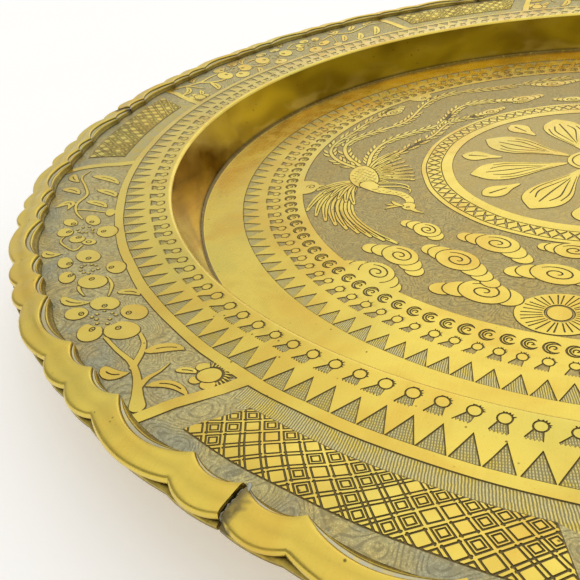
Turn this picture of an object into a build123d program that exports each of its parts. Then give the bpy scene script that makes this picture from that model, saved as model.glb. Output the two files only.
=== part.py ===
"""Round brass serving tray with an applied scalloped border.

A single sheet is worked into a flat floor, a sloping wall and a flange that is flat
near the mouth and lifts towards its edge. The edge is cut in scallops and gripped by
five folded border segments. Each
segment is a hollow fold: top leaf, outer wall, bottom leaf and a lip turned down on
the flange. Neighbouring segments meet in a lapped joint with a tongue below, closed
with soft solder, and a solder bead runs along the bottom leaf.

Millimetres, +Z up, origin on the underside of the floor at the tray's axis.
"""

from build123d import *
from math import cos, degrees, radians, sin
import os

# Sheet pan
SHEET = 1.2
WELL_DEPTH = 24.7
MOUTH_RADIUS = 214.0
FLOOR_RADIUS = 204.0
MOUTH_BEND = 2.2
FLOOR_BEND = 2.4
EDGE_LIFT = 4.8
LIFT_START = 242.0
LIFT_END = 262.0
LIFT_BEND = 40.0

# Border scallops: one period is a small lobe, a large lobe and a small lobe
SEGMENTS = 5
PERIODS_PER_SEGMENT = 5
SMALL_SHARE = 0.25
LARGE_SHARE = 0.5
OUTER_CUSP, OUTER_LARGE, OUTER_SMALL = 279.2, 282.4, 281.7
INNER_CUSP, INNER_LARGE, INNER_SMALL = 267.7, 273.0, 270.6

# Folded border strip
LEAF = 0.9
RIM_ABOVE_FLANGE = 4.2
JOINT_ANGLE = 256.7
JOINT_GAP = 0.9
BOTTOM_LEAF_WIDTH = 8.0
FLANGE_EDGE_CLEARANCE = 0.5

# Lapped joint
TONGUE_LENGTH = 5.0
TONGUE_ROOT = 2.0
TONGUE_SIDE_CLEARANCE = 0.3
TONGUE_TOP_CLEARANCE = 0.05

# Soft solder
BEAD_WIDTH = 1.1
BEAD_HEIGHT = 0.7
LAP_SOLDER_SHORT_OF_TOP = 0.45
LAP_SOLDER_INSET = 1.2

# Worked out from the above
SEGMENT_SPAN = 360.0 / SEGMENTS
PERIOD_SPAN = SEGMENT_SPAN / PERIODS_PER_SEGMENT
FLOOR_TOP = SHEET
FLANGE_TOP = FLOOR_TOP + WELL_DEPTH
FLANGE_BOTTOM = FLANGE_TOP - SHEET
EDGE_TOP = FLANGE_TOP + EDGE_LIFT
EDGE_BOTTOM = FLANGE_BOTTOM + EDGE_LIFT
RIM_TOP = EDGE_TOP + RIM_ABOVE_FLANGE
RIM_BOTTOM = EDGE_BOTTOM - LEAF
TONGUE_TOP = RIM_TOP - LEAF - TONGUE_TOP_CLEARANCE
OUTLINE_RADIUS = OUTER_LARGE + 10.0


def at(radius, angle):
    """Point on the XY plane from a radius and an angle in degrees."""
    return (radius * cos(radians(angle)), radius * sin(radians(angle)))


def scallop_run(cusp, large, small, periods, inset=0.0):
    """Arcs of a scalloped curve from angle 0, cusp to cusp, moved inwards by inset."""
    shares = [(SMALL_SHARE, small), (LARGE_SHARE, large), (SMALL_SHARE, small)]
    arcs, angle = [], 0.0
    for _ in range(periods):
        for share, crown in shares:
            span = share * PERIOD_SPAN
            arcs.append(
                ThreePointArc(
                    at(cusp - inset, angle),
                    at(crown - inset, angle + span / 2),
                    at(cusp - inset, angle + span),
                )
            )
            angle += span
    return arcs


def outer_run(inset=0.0, periods=PERIODS_PER_SEGMENT):
    return scallop_run(OUTER_CUSP, OUTER_LARGE, OUTER_SMALL, periods, inset)


def inner_run(inset=0.0, periods=PERIODS_PER_SEGMENT):
    return scallop_run(INNER_CUSP, INNER_LARGE, INNER_SMALL, periods, inset)


def strip_between(far, near, low, high):
    """Solid strip between two scalloped runs, from height low to height high."""
    start = Line(near[0] @ 0, far[0] @ 0)
    end = Line(near[-1] @ 1, far[-1] @ 1)
    face = make_face([start, *far, end, *near])
    return Pos(0, 0, low) * extrude(face, high - low)


def radial_block(angle, half_width, low, high):
    """Block across the border at an angle, half_width each side of the joint line."""
    length = OUTER_LARGE - INNER_CUSP + 20.0
    centre = (OUTER_LARGE + INNER_CUSP) / 2
    block = Box(length, 2 * half_width, high - low)
    return Rot(0, 0, angle) * Pos(centre, 0, (low + high) / 2) * block


def pan():
    """The one-piece sheet: floor, wall and flange, its edge cut in scallops."""
    slope = (MOUTH_RADIUS - FLOOR_RADIUS) / WELL_DEPTH
    side_shift = SHEET * (1 + slope**2) ** 0.5
    flange_inner_under = MOUTH_RADIUS - slope * SHEET + side_shift
    floor_outer_under = FLOOR_RADIUS - slope * SHEET + side_shift
    top = FilletPolyline(
        (0, FLOOR_TOP),
        (FLOOR_RADIUS, FLOOR_TOP),
        (MOUTH_RADIUS, FLANGE_TOP),
        (LIFT_START, FLANGE_TOP),
        (LIFT_END, EDGE_TOP),
        (OUTLINE_RADIUS, EDGE_TOP),
        radius=[FLOOR_BEND, MOUTH_BEND, LIFT_BEND, LIFT_BEND],
    )
    under = FilletPolyline(
        (0, 0),
        (floor_outer_under, 0),
        (flange_inner_under, FLANGE_BOTTOM),
        (LIFT_START, FLANGE_BOTTOM),
        (LIFT_END, EDGE_BOTTOM),
        (OUTLINE_RADIUS, EDGE_BOTTOM),
        radius=[FLOOR_BEND + SHEET, MOUTH_BEND - SHEET, LIFT_BEND, LIFT_BEND],
    )
    axis_side = Line(under @ 0, top @ 0)
    edge_side = Line(under @ 1, top @ 1)
    profile = make_face([axis_side, *top.edges(), edge_side, *under.edges()])
    turned = revolve(Plane.XZ * profile, Axis.Z)
    edge = outer_run(LEAF + FLANGE_EDGE_CLEARANCE, SEGMENTS * PERIODS_PER_SEGMENT)
    outline = Rot(0, 0, JOINT_ANGLE) * extrude(make_face(edge), RIM_TOP)
    return turned & outline


def border_segment():
    """One folded border segment, from angle 0 to the segment span."""
    outside, inside = outer_run(), inner_run()
    top_leaf = strip_between(outside, inside, RIM_TOP - LEAF, RIM_TOP)
    outer_wall = strip_between(outside, outer_run(LEAF), RIM_BOTTOM, RIM_TOP)
    lip = strip_between(inner_run(-LEAF), inside, EDGE_TOP, RIM_TOP)
    bottom_leaf = strip_between(
        outside, outer_run(BOTTOM_LEAF_WIDTH), RIM_BOTTOM, EDGE_BOTTOM
    )
    body = top_leaf + outer_wall + lip + bottom_leaf
    for angle in (0.0, SEGMENT_SPAN):
        body -= radial_block(angle, JOINT_GAP / 2, RIM_BOTTOM - 1, RIM_TOP + 1)
    return body + tongue()


def tongue():
    """The joggled end under the first end of a segment, reaching below its neighbour."""
    clear = LEAF + TONGUE_SIDE_CLEARANCE
    outside, inside = outer_run(clear, 1), inner_run(-clear, 1)
    low, under_leaf = TONGUE_TOP - LEAF, RIM_TOP - LEAF
    slab = strip_between(outside, inside, low, TONGUE_TOP)
    slab += Rot(0, 0, -PERIOD_SPAN) * slab
    tip, root = -TONGUE_LENGTH, JOINT_GAP / 2 + TONGUE_ROOT
    middle = degrees((tip + root) / 2 / OUTER_CUSP)
    slab &= radial_block(middle, (root - tip) / 2, low, TONGUE_TOP)
    riser = strip_between(outside, inside, low, under_leaf)
    riser &= radial_block(0.0, root, low, under_leaf)
    riser -= radial_block(0.0, JOINT_GAP / 2, low, under_leaf)
    return slab + riser


def rim_bead():
    """Soft solder bead along the inner edge of one bottom leaf."""
    far = outer_run(BOTTOM_LEAF_WIDTH)
    near = outer_run(BOTTOM_LEAF_WIDTH + BEAD_WIDTH)
    bead = strip_between(far, near, EDGE_BOTTOM - BEAD_HEIGHT, EDGE_BOTTOM)
    for angle in (0.0, SEGMENT_SPAN):
        bead -= radial_block(angle, JOINT_GAP / 2, RIM_BOTTOM, EDGE_TOP)
    return bead


def lap_solder():
    """Soft solder lying on the tongue in the joint at angle 0."""
    low, high = TONGUE_TOP, RIM_TOP - LAP_SOLDER_SHORT_OF_TOP
    inner, outer = INNER_CUSP + LAP_SOLDER_INSET, OUTER_CUSP - LAP_SOLDER_INSET
    block = Box(outer - inner, JOINT_GAP, high - low)
    return Pos((inner + outer) / 2, 0, (low + high) / 2) * block


def write(shape, node):
    export_step(shape, f"parts/{node}.step")


def main():
    os.makedirs("parts", exist_ok=True)
    write(pan(), "pan")
    repeated = {
        "rim_segment": border_segment(),
        "rim_solder": rim_bead(),
        "lap_solder": lap_solder(),
    }
    for number in range(SEGMENTS):
        turn = Rot(0, 0, JOINT_ANGLE + number * SEGMENT_SPAN)
        for name, shape in repeated.items():
            write(turn * shape, f"{name}_{number + 1}")


main()
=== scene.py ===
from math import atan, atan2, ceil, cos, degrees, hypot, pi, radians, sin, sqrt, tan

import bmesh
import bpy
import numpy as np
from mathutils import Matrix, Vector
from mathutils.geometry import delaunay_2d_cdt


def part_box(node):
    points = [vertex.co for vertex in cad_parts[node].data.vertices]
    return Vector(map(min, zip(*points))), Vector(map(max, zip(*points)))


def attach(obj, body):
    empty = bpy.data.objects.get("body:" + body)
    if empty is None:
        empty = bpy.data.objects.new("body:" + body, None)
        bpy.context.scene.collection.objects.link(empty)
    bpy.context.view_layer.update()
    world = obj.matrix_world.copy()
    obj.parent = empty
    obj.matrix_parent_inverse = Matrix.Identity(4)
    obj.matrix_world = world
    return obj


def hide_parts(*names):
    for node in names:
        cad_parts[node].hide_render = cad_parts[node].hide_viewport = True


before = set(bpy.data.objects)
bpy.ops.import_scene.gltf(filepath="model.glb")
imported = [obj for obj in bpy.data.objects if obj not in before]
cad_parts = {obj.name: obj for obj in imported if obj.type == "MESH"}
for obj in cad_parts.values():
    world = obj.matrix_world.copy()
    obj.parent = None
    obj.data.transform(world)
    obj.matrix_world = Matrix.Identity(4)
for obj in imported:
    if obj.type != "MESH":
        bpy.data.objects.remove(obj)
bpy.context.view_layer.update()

# Looks of a round chased brass tray with a soldered scalloped border.
#
# The pan's decoration is real relief. Each band of it is drawn as a signed distance over a
# fine polar grid, in millimetres: below zero the sheet's surface is left standing, above
# zero it is cut away. The outlines of that field are then triangulated into the pan's mesh.
# Angles are in degrees around the tray's axis, and lengths in millimetres until a mesh is made.

MM = 0.001
FAR = 1e6
ROOT = "root"
pan_low, pan_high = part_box("pan")
rim_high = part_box("rim_segment_1")[1]
random = np.random.default_rng(7)

# ---------------------------------------------------------------- sizes of the tray, mm
SHEET = 1.2
FLOOR_UNDER = pan_low.z / MM
FLOOR_TOP = FLOOR_UNDER + SHEET
EDGE_LIFT = 4.8
LIFT_START, LIFT_END, LIFT_BEND = 242.0, 262.0, 40.0
BRIM_TOP = pan_high.z / MM
BRIM_UNDER = BRIM_TOP - SHEET
FLANGE_TOP = BRIM_TOP - EDGE_LIFT
FLANGE_UNDER = FLANGE_TOP - SHEET
RIM_TOP = rim_high.z / MM
MOUTH_RADIUS = 214.0
FLOOR_RADIUS = 204.0
MOUTH_BEND = 2.2
FLOOR_BEND = 2.4
SECTORS = 5
SECTOR = 360.0 / SECTORS
JOINT_ANGLE = 256.7
SECTOR_START = 200.4
MOUTH_LEVEL = (FLOOR_TOP + FLANGE_TOP) / 2

# Relief: depth of cutting, and how far beside an outline its edges and its dirt lie
CUT_DEPTH = 0.24
EDGE_TOP, EDGE_FOOT, DIRT_EDGE = -0.06, 0.10, 0.32
OUTLINE_TOLERANCE = 0.0504
RING_POINTS = 720

# Classes of a chased surface, and how far from an outline the ground begins
SURFACE, LINE, GROUND, HATCH = 0, 1, 2, 3
GROUND_FROM = 0.3

# Chased plates: their thickness, the seat cut for them in the body, the rings of points
# that bend their underside with the flange, and the unevenness of sheet and hand
PLATE = 0.6
SEAT = PLATE + 0.04
LIFT_RINGS = (237.3, 239.6, 242.0, 244.3, 246.6, 257.4, 259.7, 262.0, 264.3, 266.7)
LIFT_RING_STEP = 2.0
UNEVENNESS = 0.045
HAND_DRIFT = 0.13
WARP_STEP, WARP_CLEARANCE = 5.0, 1.2

# The turned body: its steps around, and the steps of a bend in its top
BODY_STEPS, TOP_BEND_STEPS = 480, 10

# Bands of the flange, by radius
FLANGE_INNER, FLANGE_OUTER = 216.5, 274.0
DOT_RADIUS = 218.9
FLANGE_APEX, FLANGE_BASE = 226.2, 235.8
PANEL_INNER = 239.7
DIVIDER_OUTER = 267.0
LATTICE_INNER, LATTICE_START = 246.8, 49.6
SHEET_EDGE = FLANGE_OUTER + 1.6

# Bands of the floor, by radius
FLOOR_BASE, FLOOR_APEX = 182.5, 173.7
FLOOR_DOT_RADIUS = 165.0
CRESCENT_RADIUS = 157.3
FRIEZE_OUTER, FRIEZE_INNER = 150.6, 86.4
CROSS_OUTER, CROSS_INNER = 83.9, 76.1
DISC_RADIUS = 70.3
FLOOR_BAND_INNER, FLOOR_BAND_OUTER = 152.0, 184.0
DISC_ZONE = 68.0
HUB_RADIUS = 5.0
PETALS = 8


# ---------------------------------------------------------------- shapes, as distances
def disc(u, v, cx, cy, radius):
    """Round disc."""
    return np.hypot(u - cx, v - cy) - radius


def oval(u, v, cx, cy, along, across, turn=0.0):
    """Ellipse with half-sizes along and across, turned by an angle. First-order distance."""
    c, s = cos(radians(turn)), sin(radians(turn))
    x, y = (u - cx) * c + (v - cy) * s, -(u - cx) * s + (v - cy) * c
    level = np.sqrt((x / along) ** 2 + (y / across) ** 2)
    slope = np.sqrt((x / along**2) ** 2 + (y / across**2) ** 2)
    return (level - 1) * level / np.maximum(slope, 1e-9)


def stroke(u, v, points):
    """Brush stroke through (x, y, width) points."""
    nearest = np.full(np.shape(u), FAR)
    for (x0, y0, w0), (x1, y1, w1) in zip(points, points[1:]):
        dx, dy = x1 - x0, y1 - y0
        t = np.clip(((u - x0) * dx + (v - y0) * dy) / (dx * dx + dy * dy), 0, 1)
        away = np.hypot(u - x0 - t * dx, v - y0 - t * dy) - (w0 + (w1 - w0) * t) / 2
        np.minimum(nearest, away, out=nearest)
    return nearest


def smooth(points, steps=6):
    """Points along a Catmull-Rom curve through (x, y, width) points."""
    p = np.array([points[0], *points, points[-1]], float)
    run = []
    for a, b, c, d in zip(p, p[1:], p[2:], p[3:]):
        for t in np.linspace(0, 1, steps, endpoint=False):
            run.append(
                0.5 * (2 * b + (c - a) * t + (2 * a - 5 * b + 4 * c - d) * t**2
                       + (3 * b - a - 3 * c + d) * t**3)
            )
    return [tuple(q) for q in run] + [tuple(p[-1])]


def leaf_run(start, bend, end, width, steps=9):
    """Stroke points of a leaf: pointed at both ends, widest before the middle."""
    t = np.linspace(0, 1, steps)
    x = (1 - t) ** 2 * start[0] + 2 * t * (1 - t) * bend[0] + t**2 * end[0]
    y = (1 - t) ** 2 * start[1] + 2 * t * (1 - t) * bend[1] + t**2 * end[1]
    w = width * np.sin(pi * t**0.8) ** 0.8 + 0.15
    return list(zip(x, y, w))


def arc_run(cx, cy, radius, start, end, widths, steps=10):
    """Stroke points along an arc, its width running through the given widths."""
    angles = np.radians(np.linspace(start, end, steps))
    w = np.interp(np.linspace(0, 1, steps), np.linspace(0, 1, len(widths)), widths)
    return list(zip(cx + radius * np.cos(angles), cy + radius * np.sin(angles), w))


def spiral_run(cx, cy, outer, inner, start, turns, width, steps=26):
    """Stroke points of a spiral that winds inwards."""
    t = np.linspace(0, 1, steps)
    r = outer + (inner - outer) * t**0.9
    a = radians(start) + 2 * pi * turns * t
    w = width * np.interp(t, [0, 0.1, 0.85, 1], [0.6, 1, 1, 0.7])
    return list(zip(cx + r * np.cos(a), cy + r * np.sin(a), w))


# ---------------------------------------------------------------- patterns on a polar grid
class Pattern:
    """Signed distance over a ring of the tray that repeats after a span of degrees."""

    def __init__(self, inner, outer, start, span, step, standing):
        rows = round((outer - inner) / step) + 1
        columns = round(radians(span) * (inner + outer) / 2 / step) + 1
        self.radius = np.linspace(inner, outer, rows)
        self.angle = np.linspace(start, start + span, columns)
        self.start, self.span = start, span
        self.field = np.full((rows, columns), -FAR if standing else FAR)

    def mark(self, cutting, shape, radius, angle, reach, turn=0.0, at=(0.0, 0.0)):
        """Leaves or cuts a shape drawn around a place: u runs with the angle, v outwards.

        The shape lies within reach of the point at, given in u and v."""
        near, far = radius + at[1] - reach, radius + at[1] + reach
        first, last = np.searchsorted(self.radius, (near, far))
        for shift in (-self.span, 0.0, self.span):
            middle = angle + shift
            sides = [middle + degrees((at[0] + r) / radius) for r in (-reach, reach)]
            left, right = np.searchsorted(self.angle, sides)
            if left == right or first == last:
                continue
            u = np.radians(self.angle[None, left:right] - middle) * radius
            v = self.radius[first:last, None] - radius
            u, v = np.broadcast_arrays(u, v)
            if turn:
                c, s = cos(radians(turn)), sin(radians(turn))
                u, v = u * c + v * s, v * c - u * s
            distance = shape(u, v)
            part = self.field[first:last, left:right]
            if cutting:
                np.maximum(part, -distance, out=part)
            else:
                np.minimum(part, distance, out=part)

    def leave(self, *args, **kw):
        self.mark(False, *args, **kw)

    def cut(self, *args, **kw):
        self.mark(True, *args, **kw)

    def ring(self, cutting, inner, outer):
        """Leaves or cuts a plain ring."""
        distance = np.abs(self.radius - (inner + outer) / 2) - (outer - inner) / 2
        distance = distance[:, None]
        if cutting:
            np.maximum(self.field, -distance, out=self.field)
        else:
            np.minimum(self.field, distance, out=self.field)

    def place(self, row, column):
        """x and y of a place given in grid steps."""
        radius = np.interp(row, np.arange(len(self.radius)), self.radius)
        turn = np.radians(np.interp(column, np.arange(len(self.angle)), self.angle))
        return np.column_stack((radius * np.cos(turn), radius * np.sin(turn)))

    def sample(self, row, column):
        """The field at places given in grid steps, by interpolation."""
        row = np.clip(row, 0, len(self.radius) - 1.001)
        column = np.clip(column, 0, len(self.angle) - 1.001)
        i, j = row.astype(int), column.astype(int)
        a, b, f = row - i, column - j, self.field
        return (
            f[i, j] * (1 - a) * (1 - b) + f[i + 1, j] * a * (1 - b)
            + f[i, j + 1] * (1 - a) * b + f[i + 1, j + 1] * a * b
        )


def outlines(field, level):
    """Chains of (row, column) places where the field crosses a level."""
    above = field >= level
    rows, columns = field.shape
    number = {}
    along_row = np.argwhere(above[:, :-1] != above[:, 1:])
    along_column = np.argwhere(above[:-1] != above[1:])
    i, j = along_row.T
    t = (level - field[i, j]) / (field[i, j + 1] - field[i, j])
    places = [np.column_stack((i, j + t))]
    row_number = np.full((rows, columns), -1)
    row_number[i, j] = np.arange(len(i))
    i, j = along_column.T
    t = (level - field[i, j]) / (field[i + 1, j] - field[i, j])
    places.append(np.column_stack((i + t, j)))
    column_number = np.full((rows, columns), -1)
    column_number[i, j] = len(along_row) + np.arange(len(i))
    places = np.concatenate(places)

    bottom, top = row_number[:-1, :-1], row_number[1:, :-1]
    left, right = column_number[:-1, :-1], column_number[:-1, 1:]
    sides = np.stack((bottom, right, top, left), axis=-1)
    crossed = (sides >= 0).sum(-1)
    neighbours = [[] for _ in places]
    for a, b, c, d in sides[crossed == 2].tolist():
        ends = [n for n in (a, b, c, d) if n >= 0]
        neighbours[ends[0]].append(ends[1])
        neighbours[ends[1]].append(ends[0])
    for i, j in np.argwhere(crossed == 4):
        a, b, c, d = sides[i, j].tolist()
        centre_above = field[i : i + 2, j : j + 2].mean() >= level
        pairs = ((a, d), (b, c)) if centre_above != above[i, j] else ((a, b), (c, d))
        for p, q in pairs:
            neighbours[p].append(q)
            neighbours[q].append(p)

    seen = np.zeros(len(places), bool)
    chains = []
    ends_first = sorted(range(len(places)), key=lambda n: len(neighbours[n]))
    for n in ends_first:
        if seen[n]:
            continue
        chain, here = [n], n
        seen[n] = True
        while True:
            onward = [m for m in neighbours[here] if not seen[m]]
            if not onward:
                break
            here = onward[0]
            seen[here] = True
            chain.append(here)
        closed = len(chain) > 2 and chain[0] in neighbours[chain[-1]]
        chains.append((places[chain], closed))
    return chains


def simplify(points, tolerance):
    """Indices of the points that a run needs to stay within a tolerance."""
    keep = {0, len(points) - 1}
    stack = [(0, len(points) - 1)]
    while stack:
        a, b = stack.pop()
        if b - a < 2:
            continue
        chord = points[b] - points[a]
        offset = points[a + 1 : b] - points[a]
        length = hypot(*chord)
        if length < 1e-9:
            away = np.hypot(offset[:, 0], offset[:, 1])
        else:
            away = np.abs(offset[:, 0] * chord[1] - offset[:, 1] * chord[0]) / length
        worst = int(away.argmax())
        if away[worst] > tolerance:
            middle = a + 1 + worst
            keep.add(middle)
            stack += [(a, middle), (middle, b)]
    return sorted(keep)


def relief(pattern):
    """Triangles of a pattern: its vertices' radius and angle, which are cut down, the faces
    and each face's class.

    It is triangulated unrolled, with the angle against the logarithm of the radius, so
    that its two ends are exactly straight and meet the next copy's ends."""
    inner, outer = pattern.radius[0], pattern.radius[-1]
    scale = (inner + outer) / 2
    lines, last = len(pattern.radius) - 1, len(pattern.angle) - 1
    flat_points, edges = [], []

    def unroll(row, column):
        across = np.asarray(column) / last * radians(pattern.span) * scale
        radius = inner + (outer - inner) * np.asarray(row) / lines
        return np.column_stack((across, np.log(radius / inner) * scale))

    def add_run(row, column, closed):
        first = len(flat_points)
        flat_points.extend(unroll(row, column).tolist())
        edges.extend((first + k, first + k + 1) for k in range(len(row) - 1))
        if closed:
            edges.append((first + len(row) - 1, first))

    for level in (EDGE_TOP, EDGE_FOOT, DIRT_EDGE):
        for chain, closed in outlines(pattern.field, level):
            points = pattern.place(chain[:, 0], chain[:, 1])
            if closed:
                far = int(np.hypot(*(points - points[0]).T).argmax())
                ring = np.vstack((points, points[:1]))
                kept = simplify(ring[: far + 1], OUTLINE_TOLERANCE)
                kept += [far + k for k in simplify(ring[far:], OUTLINE_TOLERANCE)][1:-1]
                if len(kept) >= 3:
                    add_run(chain[kept, 0], chain[kept, 1], True)
            elif len(points) > 1:
                kept = simplify(points, OUTLINE_TOLERANCE)
                add_run(chain[kept, 0], chain[kept, 1], False)

    # The pattern's own edges, and loose points that carry the sheet's gentle waviness
    count = round(RING_POINTS * pattern.span / 360)
    along = np.linspace(0, last, count + 1)
    for row in (0, lines):
        add_run(np.full(count + 1, row), along, False)
    rows = np.linspace(0, lines, ceil((outer - inner) / WARP_STEP) + 1)
    for column in (0, last):
        add_run(rows, np.full(len(rows), column), False)
    for radius in np.arange(inner + WARP_STEP / 2, outer, WARP_STEP):
        number = round(radians(pattern.span) * radius / WARP_STEP)
        column = last * (np.arange(number) + 0.5) / number
        row = np.full(number, (radius - inner) / (outer - inner) * lines)
        clear = np.abs(pattern.sample(row, column)) > WARP_CLEARANCE
        flat_points.extend(unroll(row[clear], column[clear]).tolist())

    co, _, faces, *_ = delaunay_2d_cdt(
        [Vector(p) for p in flat_points], edges, [], 0, 1e-5, False
    )
    co, faces = np.array([tuple(p) for p in co]), np.array(faces)
    radius = inner * np.exp(co[:, 1] / scale)
    turn = co[:, 0] / scale
    row = (radius - inner) / (outer - inner) * lines
    value = pattern.sample(row, turn / radians(pattern.span) * last)
    level = np.where(value < 0, 0, np.where(value < GROUND_FROM, 1, 2))
    low, high = level[faces].min(1), level[faces].max(1)
    kind = np.where(high == 0, SURFACE, np.where(low == 2, GROUND, LINE))
    return radius, radians(pattern.start) + turn, level > 0, faces, kind


# ---------------------------------------------------------------- motifs of the bands
def wavering(amount):
    """A random number up to an amount either side of zero."""
    return amount * (2 * random.random() - 1)


def triangle_row(pattern, count, base, apex):
    """Cut triangles whose bases lie on an outer circle."""
    pitch = pattern.span / count
    half = radians(pitch) * base / 2 - 0.12
    for k in range(count):
        lean, tall = wavering(0.35), base - apex + wavering(0.5)

        def shape(u, v):
            left = (-u - half) * tall + (-v) * (half + lean)
            right = (u - half) * tall + (-v) * (half - lean)
            left /= hypot(tall, half + lean)
            right /= hypot(tall, half - lean)
            return np.maximum(np.maximum(left, right), v)

        angle = pattern.start + pitch * (k + 0.5) + wavering(0.06)
        pattern.cut(shape, base, angle, tall + 1.5)


def rayed_dot_row(pattern, count, radius, dot, fan):
    """Standing dots ringed by a groove, each with a cut fan outside it and ticks inside."""
    pitch = pattern.span / count
    for k in range(count):
        size = dot + wavering(0.14)
        lean, spread = -0.30 + wavering(0.2), 0.34 + wavering(0.06)
        end = size + fan + wavering(0.45)
        angle = pattern.start + pitch * (k + 0.5) + wavering(0.12)
        ticks = []
        for side in range(-3, 3):
            a = radians(-48 + 21 * side + wavering(5))
            reach = size + 1.0 + wavering(0.25)
            near = (size + 0.45) * cos(a), (size + 0.45) * sin(a), 0.40
            ticks.append([near, (reach * cos(a), reach * sin(a), 0.20)])

        def shape(u, v):
            ragged = end + 0.35 * np.sin(6.3 * u + k)
            wide = 0.80 * size + spread * (np.maximum(v, 0) - 0.8 * size)
            nearest = np.maximum(np.maximum(np.abs(u - lean * v) - wide, -v), v - ragged)
            nearest = np.minimum(nearest, np.abs(disc(u, v, 0, 0, size + 0.22)) - 0.20)
            for run in ticks:
                np.minimum(nearest, stroke(u, v, run), out=nearest)
            return nearest

        pattern.cut(shape, radius, angle, end + 1.5)
        pattern.leave(lambda u, v: disc(u, v, 0, 0, size), radius, angle, size + 0.3)


def crescent_row(pattern, count, radius, size):
    """Cut C-shaped crescents with a row of ticks along them and a curl inside."""
    pitch = pattern.span / count
    for k in range(count):
        angle = pattern.start + pitch * (k + 0.5) + wavering(0.1)
        turn, r = wavering(9), size * (1 + wavering(0.05))
        body = arc_run(0, 0, r - 0.75, 35, 312, (0.3, 1.5, 1.75, 1.6, 0.35), 16)
        ridge = arc_run(0, 0, r - 0.8, 70, 285, (0.2, 0.42, 0.42, 0.2), 14)
        curl = spiral_run(0.25, 0.0, r - 1.9, 0.35, 150, 0.85, 0.5, 12)

        def shape(u, v):
            crescent = stroke(u, v, body)
            return np.minimum(np.maximum(crescent, -stroke(u, v, ridge)), stroke(u, v, curl))

        pattern.cut(shape, radius, angle, size + 1.2, turn)


def lattice(pattern, first, last, inner, outer, pitch, width=0.46):
    """Double-cut diagonal lines between angles, with a smaller square in some of the cells."""
    radius, angle = (inner + outer) / 2, (first + last) / 2
    half_width = radians(last - first) / 2 * radius
    half_height = (outer - inner) / 2
    nested = random.random((64, 64)) < 0.42
    crossing = random.random((64, 64)) < 0.55

    def bed(u, v):
        ends = half_width - 0.34 * (half_height - v)
        return np.maximum(np.abs(u) - ends, np.abs(v) - half_height)

    def lines(u, v):
        p, q = (u + v) / sqrt(2) / pitch, (u - v) / sqrt(2) / pitch
        i, j = np.floor(p).astype(int), np.floor(q).astype(int)
        x, y = (p - i - 0.5) * pitch, (q - j - 0.5) * pitch
        square = np.maximum(np.abs(x), np.abs(y))
        side = pitch / 2 - 0.60
        double = np.abs(square - side) - width / 2
        through = np.minimum(np.abs(np.abs(x) - side), np.abs(np.abs(y) - side)) - width / 2
        double = np.where(crossing[i % 64, j % 64], through, double)
        small = np.abs(square - (side - 0.82)) - 0.2
        small = np.where(nested[i % 64, j % 64], small, FAR)
        return np.maximum(np.minimum(double, small), bed(u, v) - 0.8)

    reach = hypot(half_width, half_height) + 2
    pattern.leave(bed, radius, angle, reach)
    pattern.cut(lines, radius, angle, reach)


def flower(pattern, radius, angle, petals, heart):
    """Round petals with an eye each, about a cut heart with standing stamens."""
    for u0, v0, along, across, turn in petals:
        pattern.leave(
            lambda u, v: oval(u, v, u0, v0, along, across, turn), radius, angle, 24
        )
    inward = 0.18
    for u0, v0, along, across, turn in petals:
        def marks(u, v):
            ox, oy = u0 * (1 - inward), v0 * (1 - inward)
            eye = np.abs(oval(u, v, ox, oy, 1.15, 0.8, turn + 35)) - 0.2
            pupil = oval(u, v, ox, oy, 0.35, 0.3)
            return np.minimum(eye, pupil)

        def rim(u, v):
            return np.abs(oval(u, v, u0, v0, along + 0.2, across + 0.2, turn)) - 0.2

        pattern.cut(marks, radius, angle, 24)
        pattern.cut(rim, radius, angle, 24)
    pattern.cut(lambda u, v: oval(u, v, 0, 0, heart, heart * 0.95), radius, angle, 24)
    for k in range(9):
        a = radians(40 * k + wavering(12))
        r = heart * (0.35 + 0.45 * random.random())
        x, y = r * cos(a), r * sin(a)
        pattern.leave(
            lambda u, v: disc(u, v, x, y, 0.45 + 0.15 * random.random()), radius, angle, 8
        )


def extent(points):
    """Where a stroke lies: its middle and how far it reaches from there."""
    p = np.array(points)
    middle = (p[:, :2].min(0) + p[:, :2].max(0)) / 2
    farthest = np.hypot(*(p[:, :2] - middle).T).max()
    return {"at": tuple(middle), "reach": farthest + p[:, 2].max() + 1}


def leave_stroke(pattern, radius, angle, points, groove=0.0):
    """Leaves a stroke standing, with a groove round it where it crosses others."""
    where = extent(points)
    if groove:
        pattern.cut(lambda u, v: stroke(u, v, points) - groove, radius, angle, **where)
    pattern.leave(lambda u, v: stroke(u, v, points), radius, angle, **where)


def cut_stroke(pattern, radius, angle, points):
    pattern.cut(lambda u, v: stroke(u, v, points), radius, angle, **extent(points))


def leaves(pattern, radius, angle, *places):
    """Pointed leaves with their veins cut in, each from (start, bend, end, width)."""
    for place in places:
        run = leaf_run(*place)
        leave_stroke(pattern, radius, angle, run)
        cut_stroke(pattern, radius, angle, [(x, y, 0.42) for x, y, _ in run[2:-2]])


def branches(pattern, radius, angle, *runs):
    """Curved twigs, each through (x, y, width) points."""
    for points in runs:
        leave_stroke(pattern, radius, angle, smooth(points, 5))


def grid_step(fine):
    """Pitch of a pattern's grid, in mm."""
    return fine


def divider_strips(p):
    """Plain strips between the panels, each from (angle at its outer end, at its inner end)."""
    radius = (PANEL_INNER + DIVIDER_OUTER) / 2
    half = (DIVIDER_OUTER - PANEL_INNER) / 2
    for outer_angle, inner_angle in ((203.3, 200.1), (247.8, 249.5)):
        middle = (outer_angle + inner_angle) / 2
        lean = radians(outer_angle - inner_angle) * radius / 2
        strip = [(-lean, -half - 2, 5.0), (0, 0, 4.4), (lean, half, 4.0), (lean * 1.4, half + 5, 3.6)]
        leave_stroke(p, radius, middle, strip)


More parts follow.
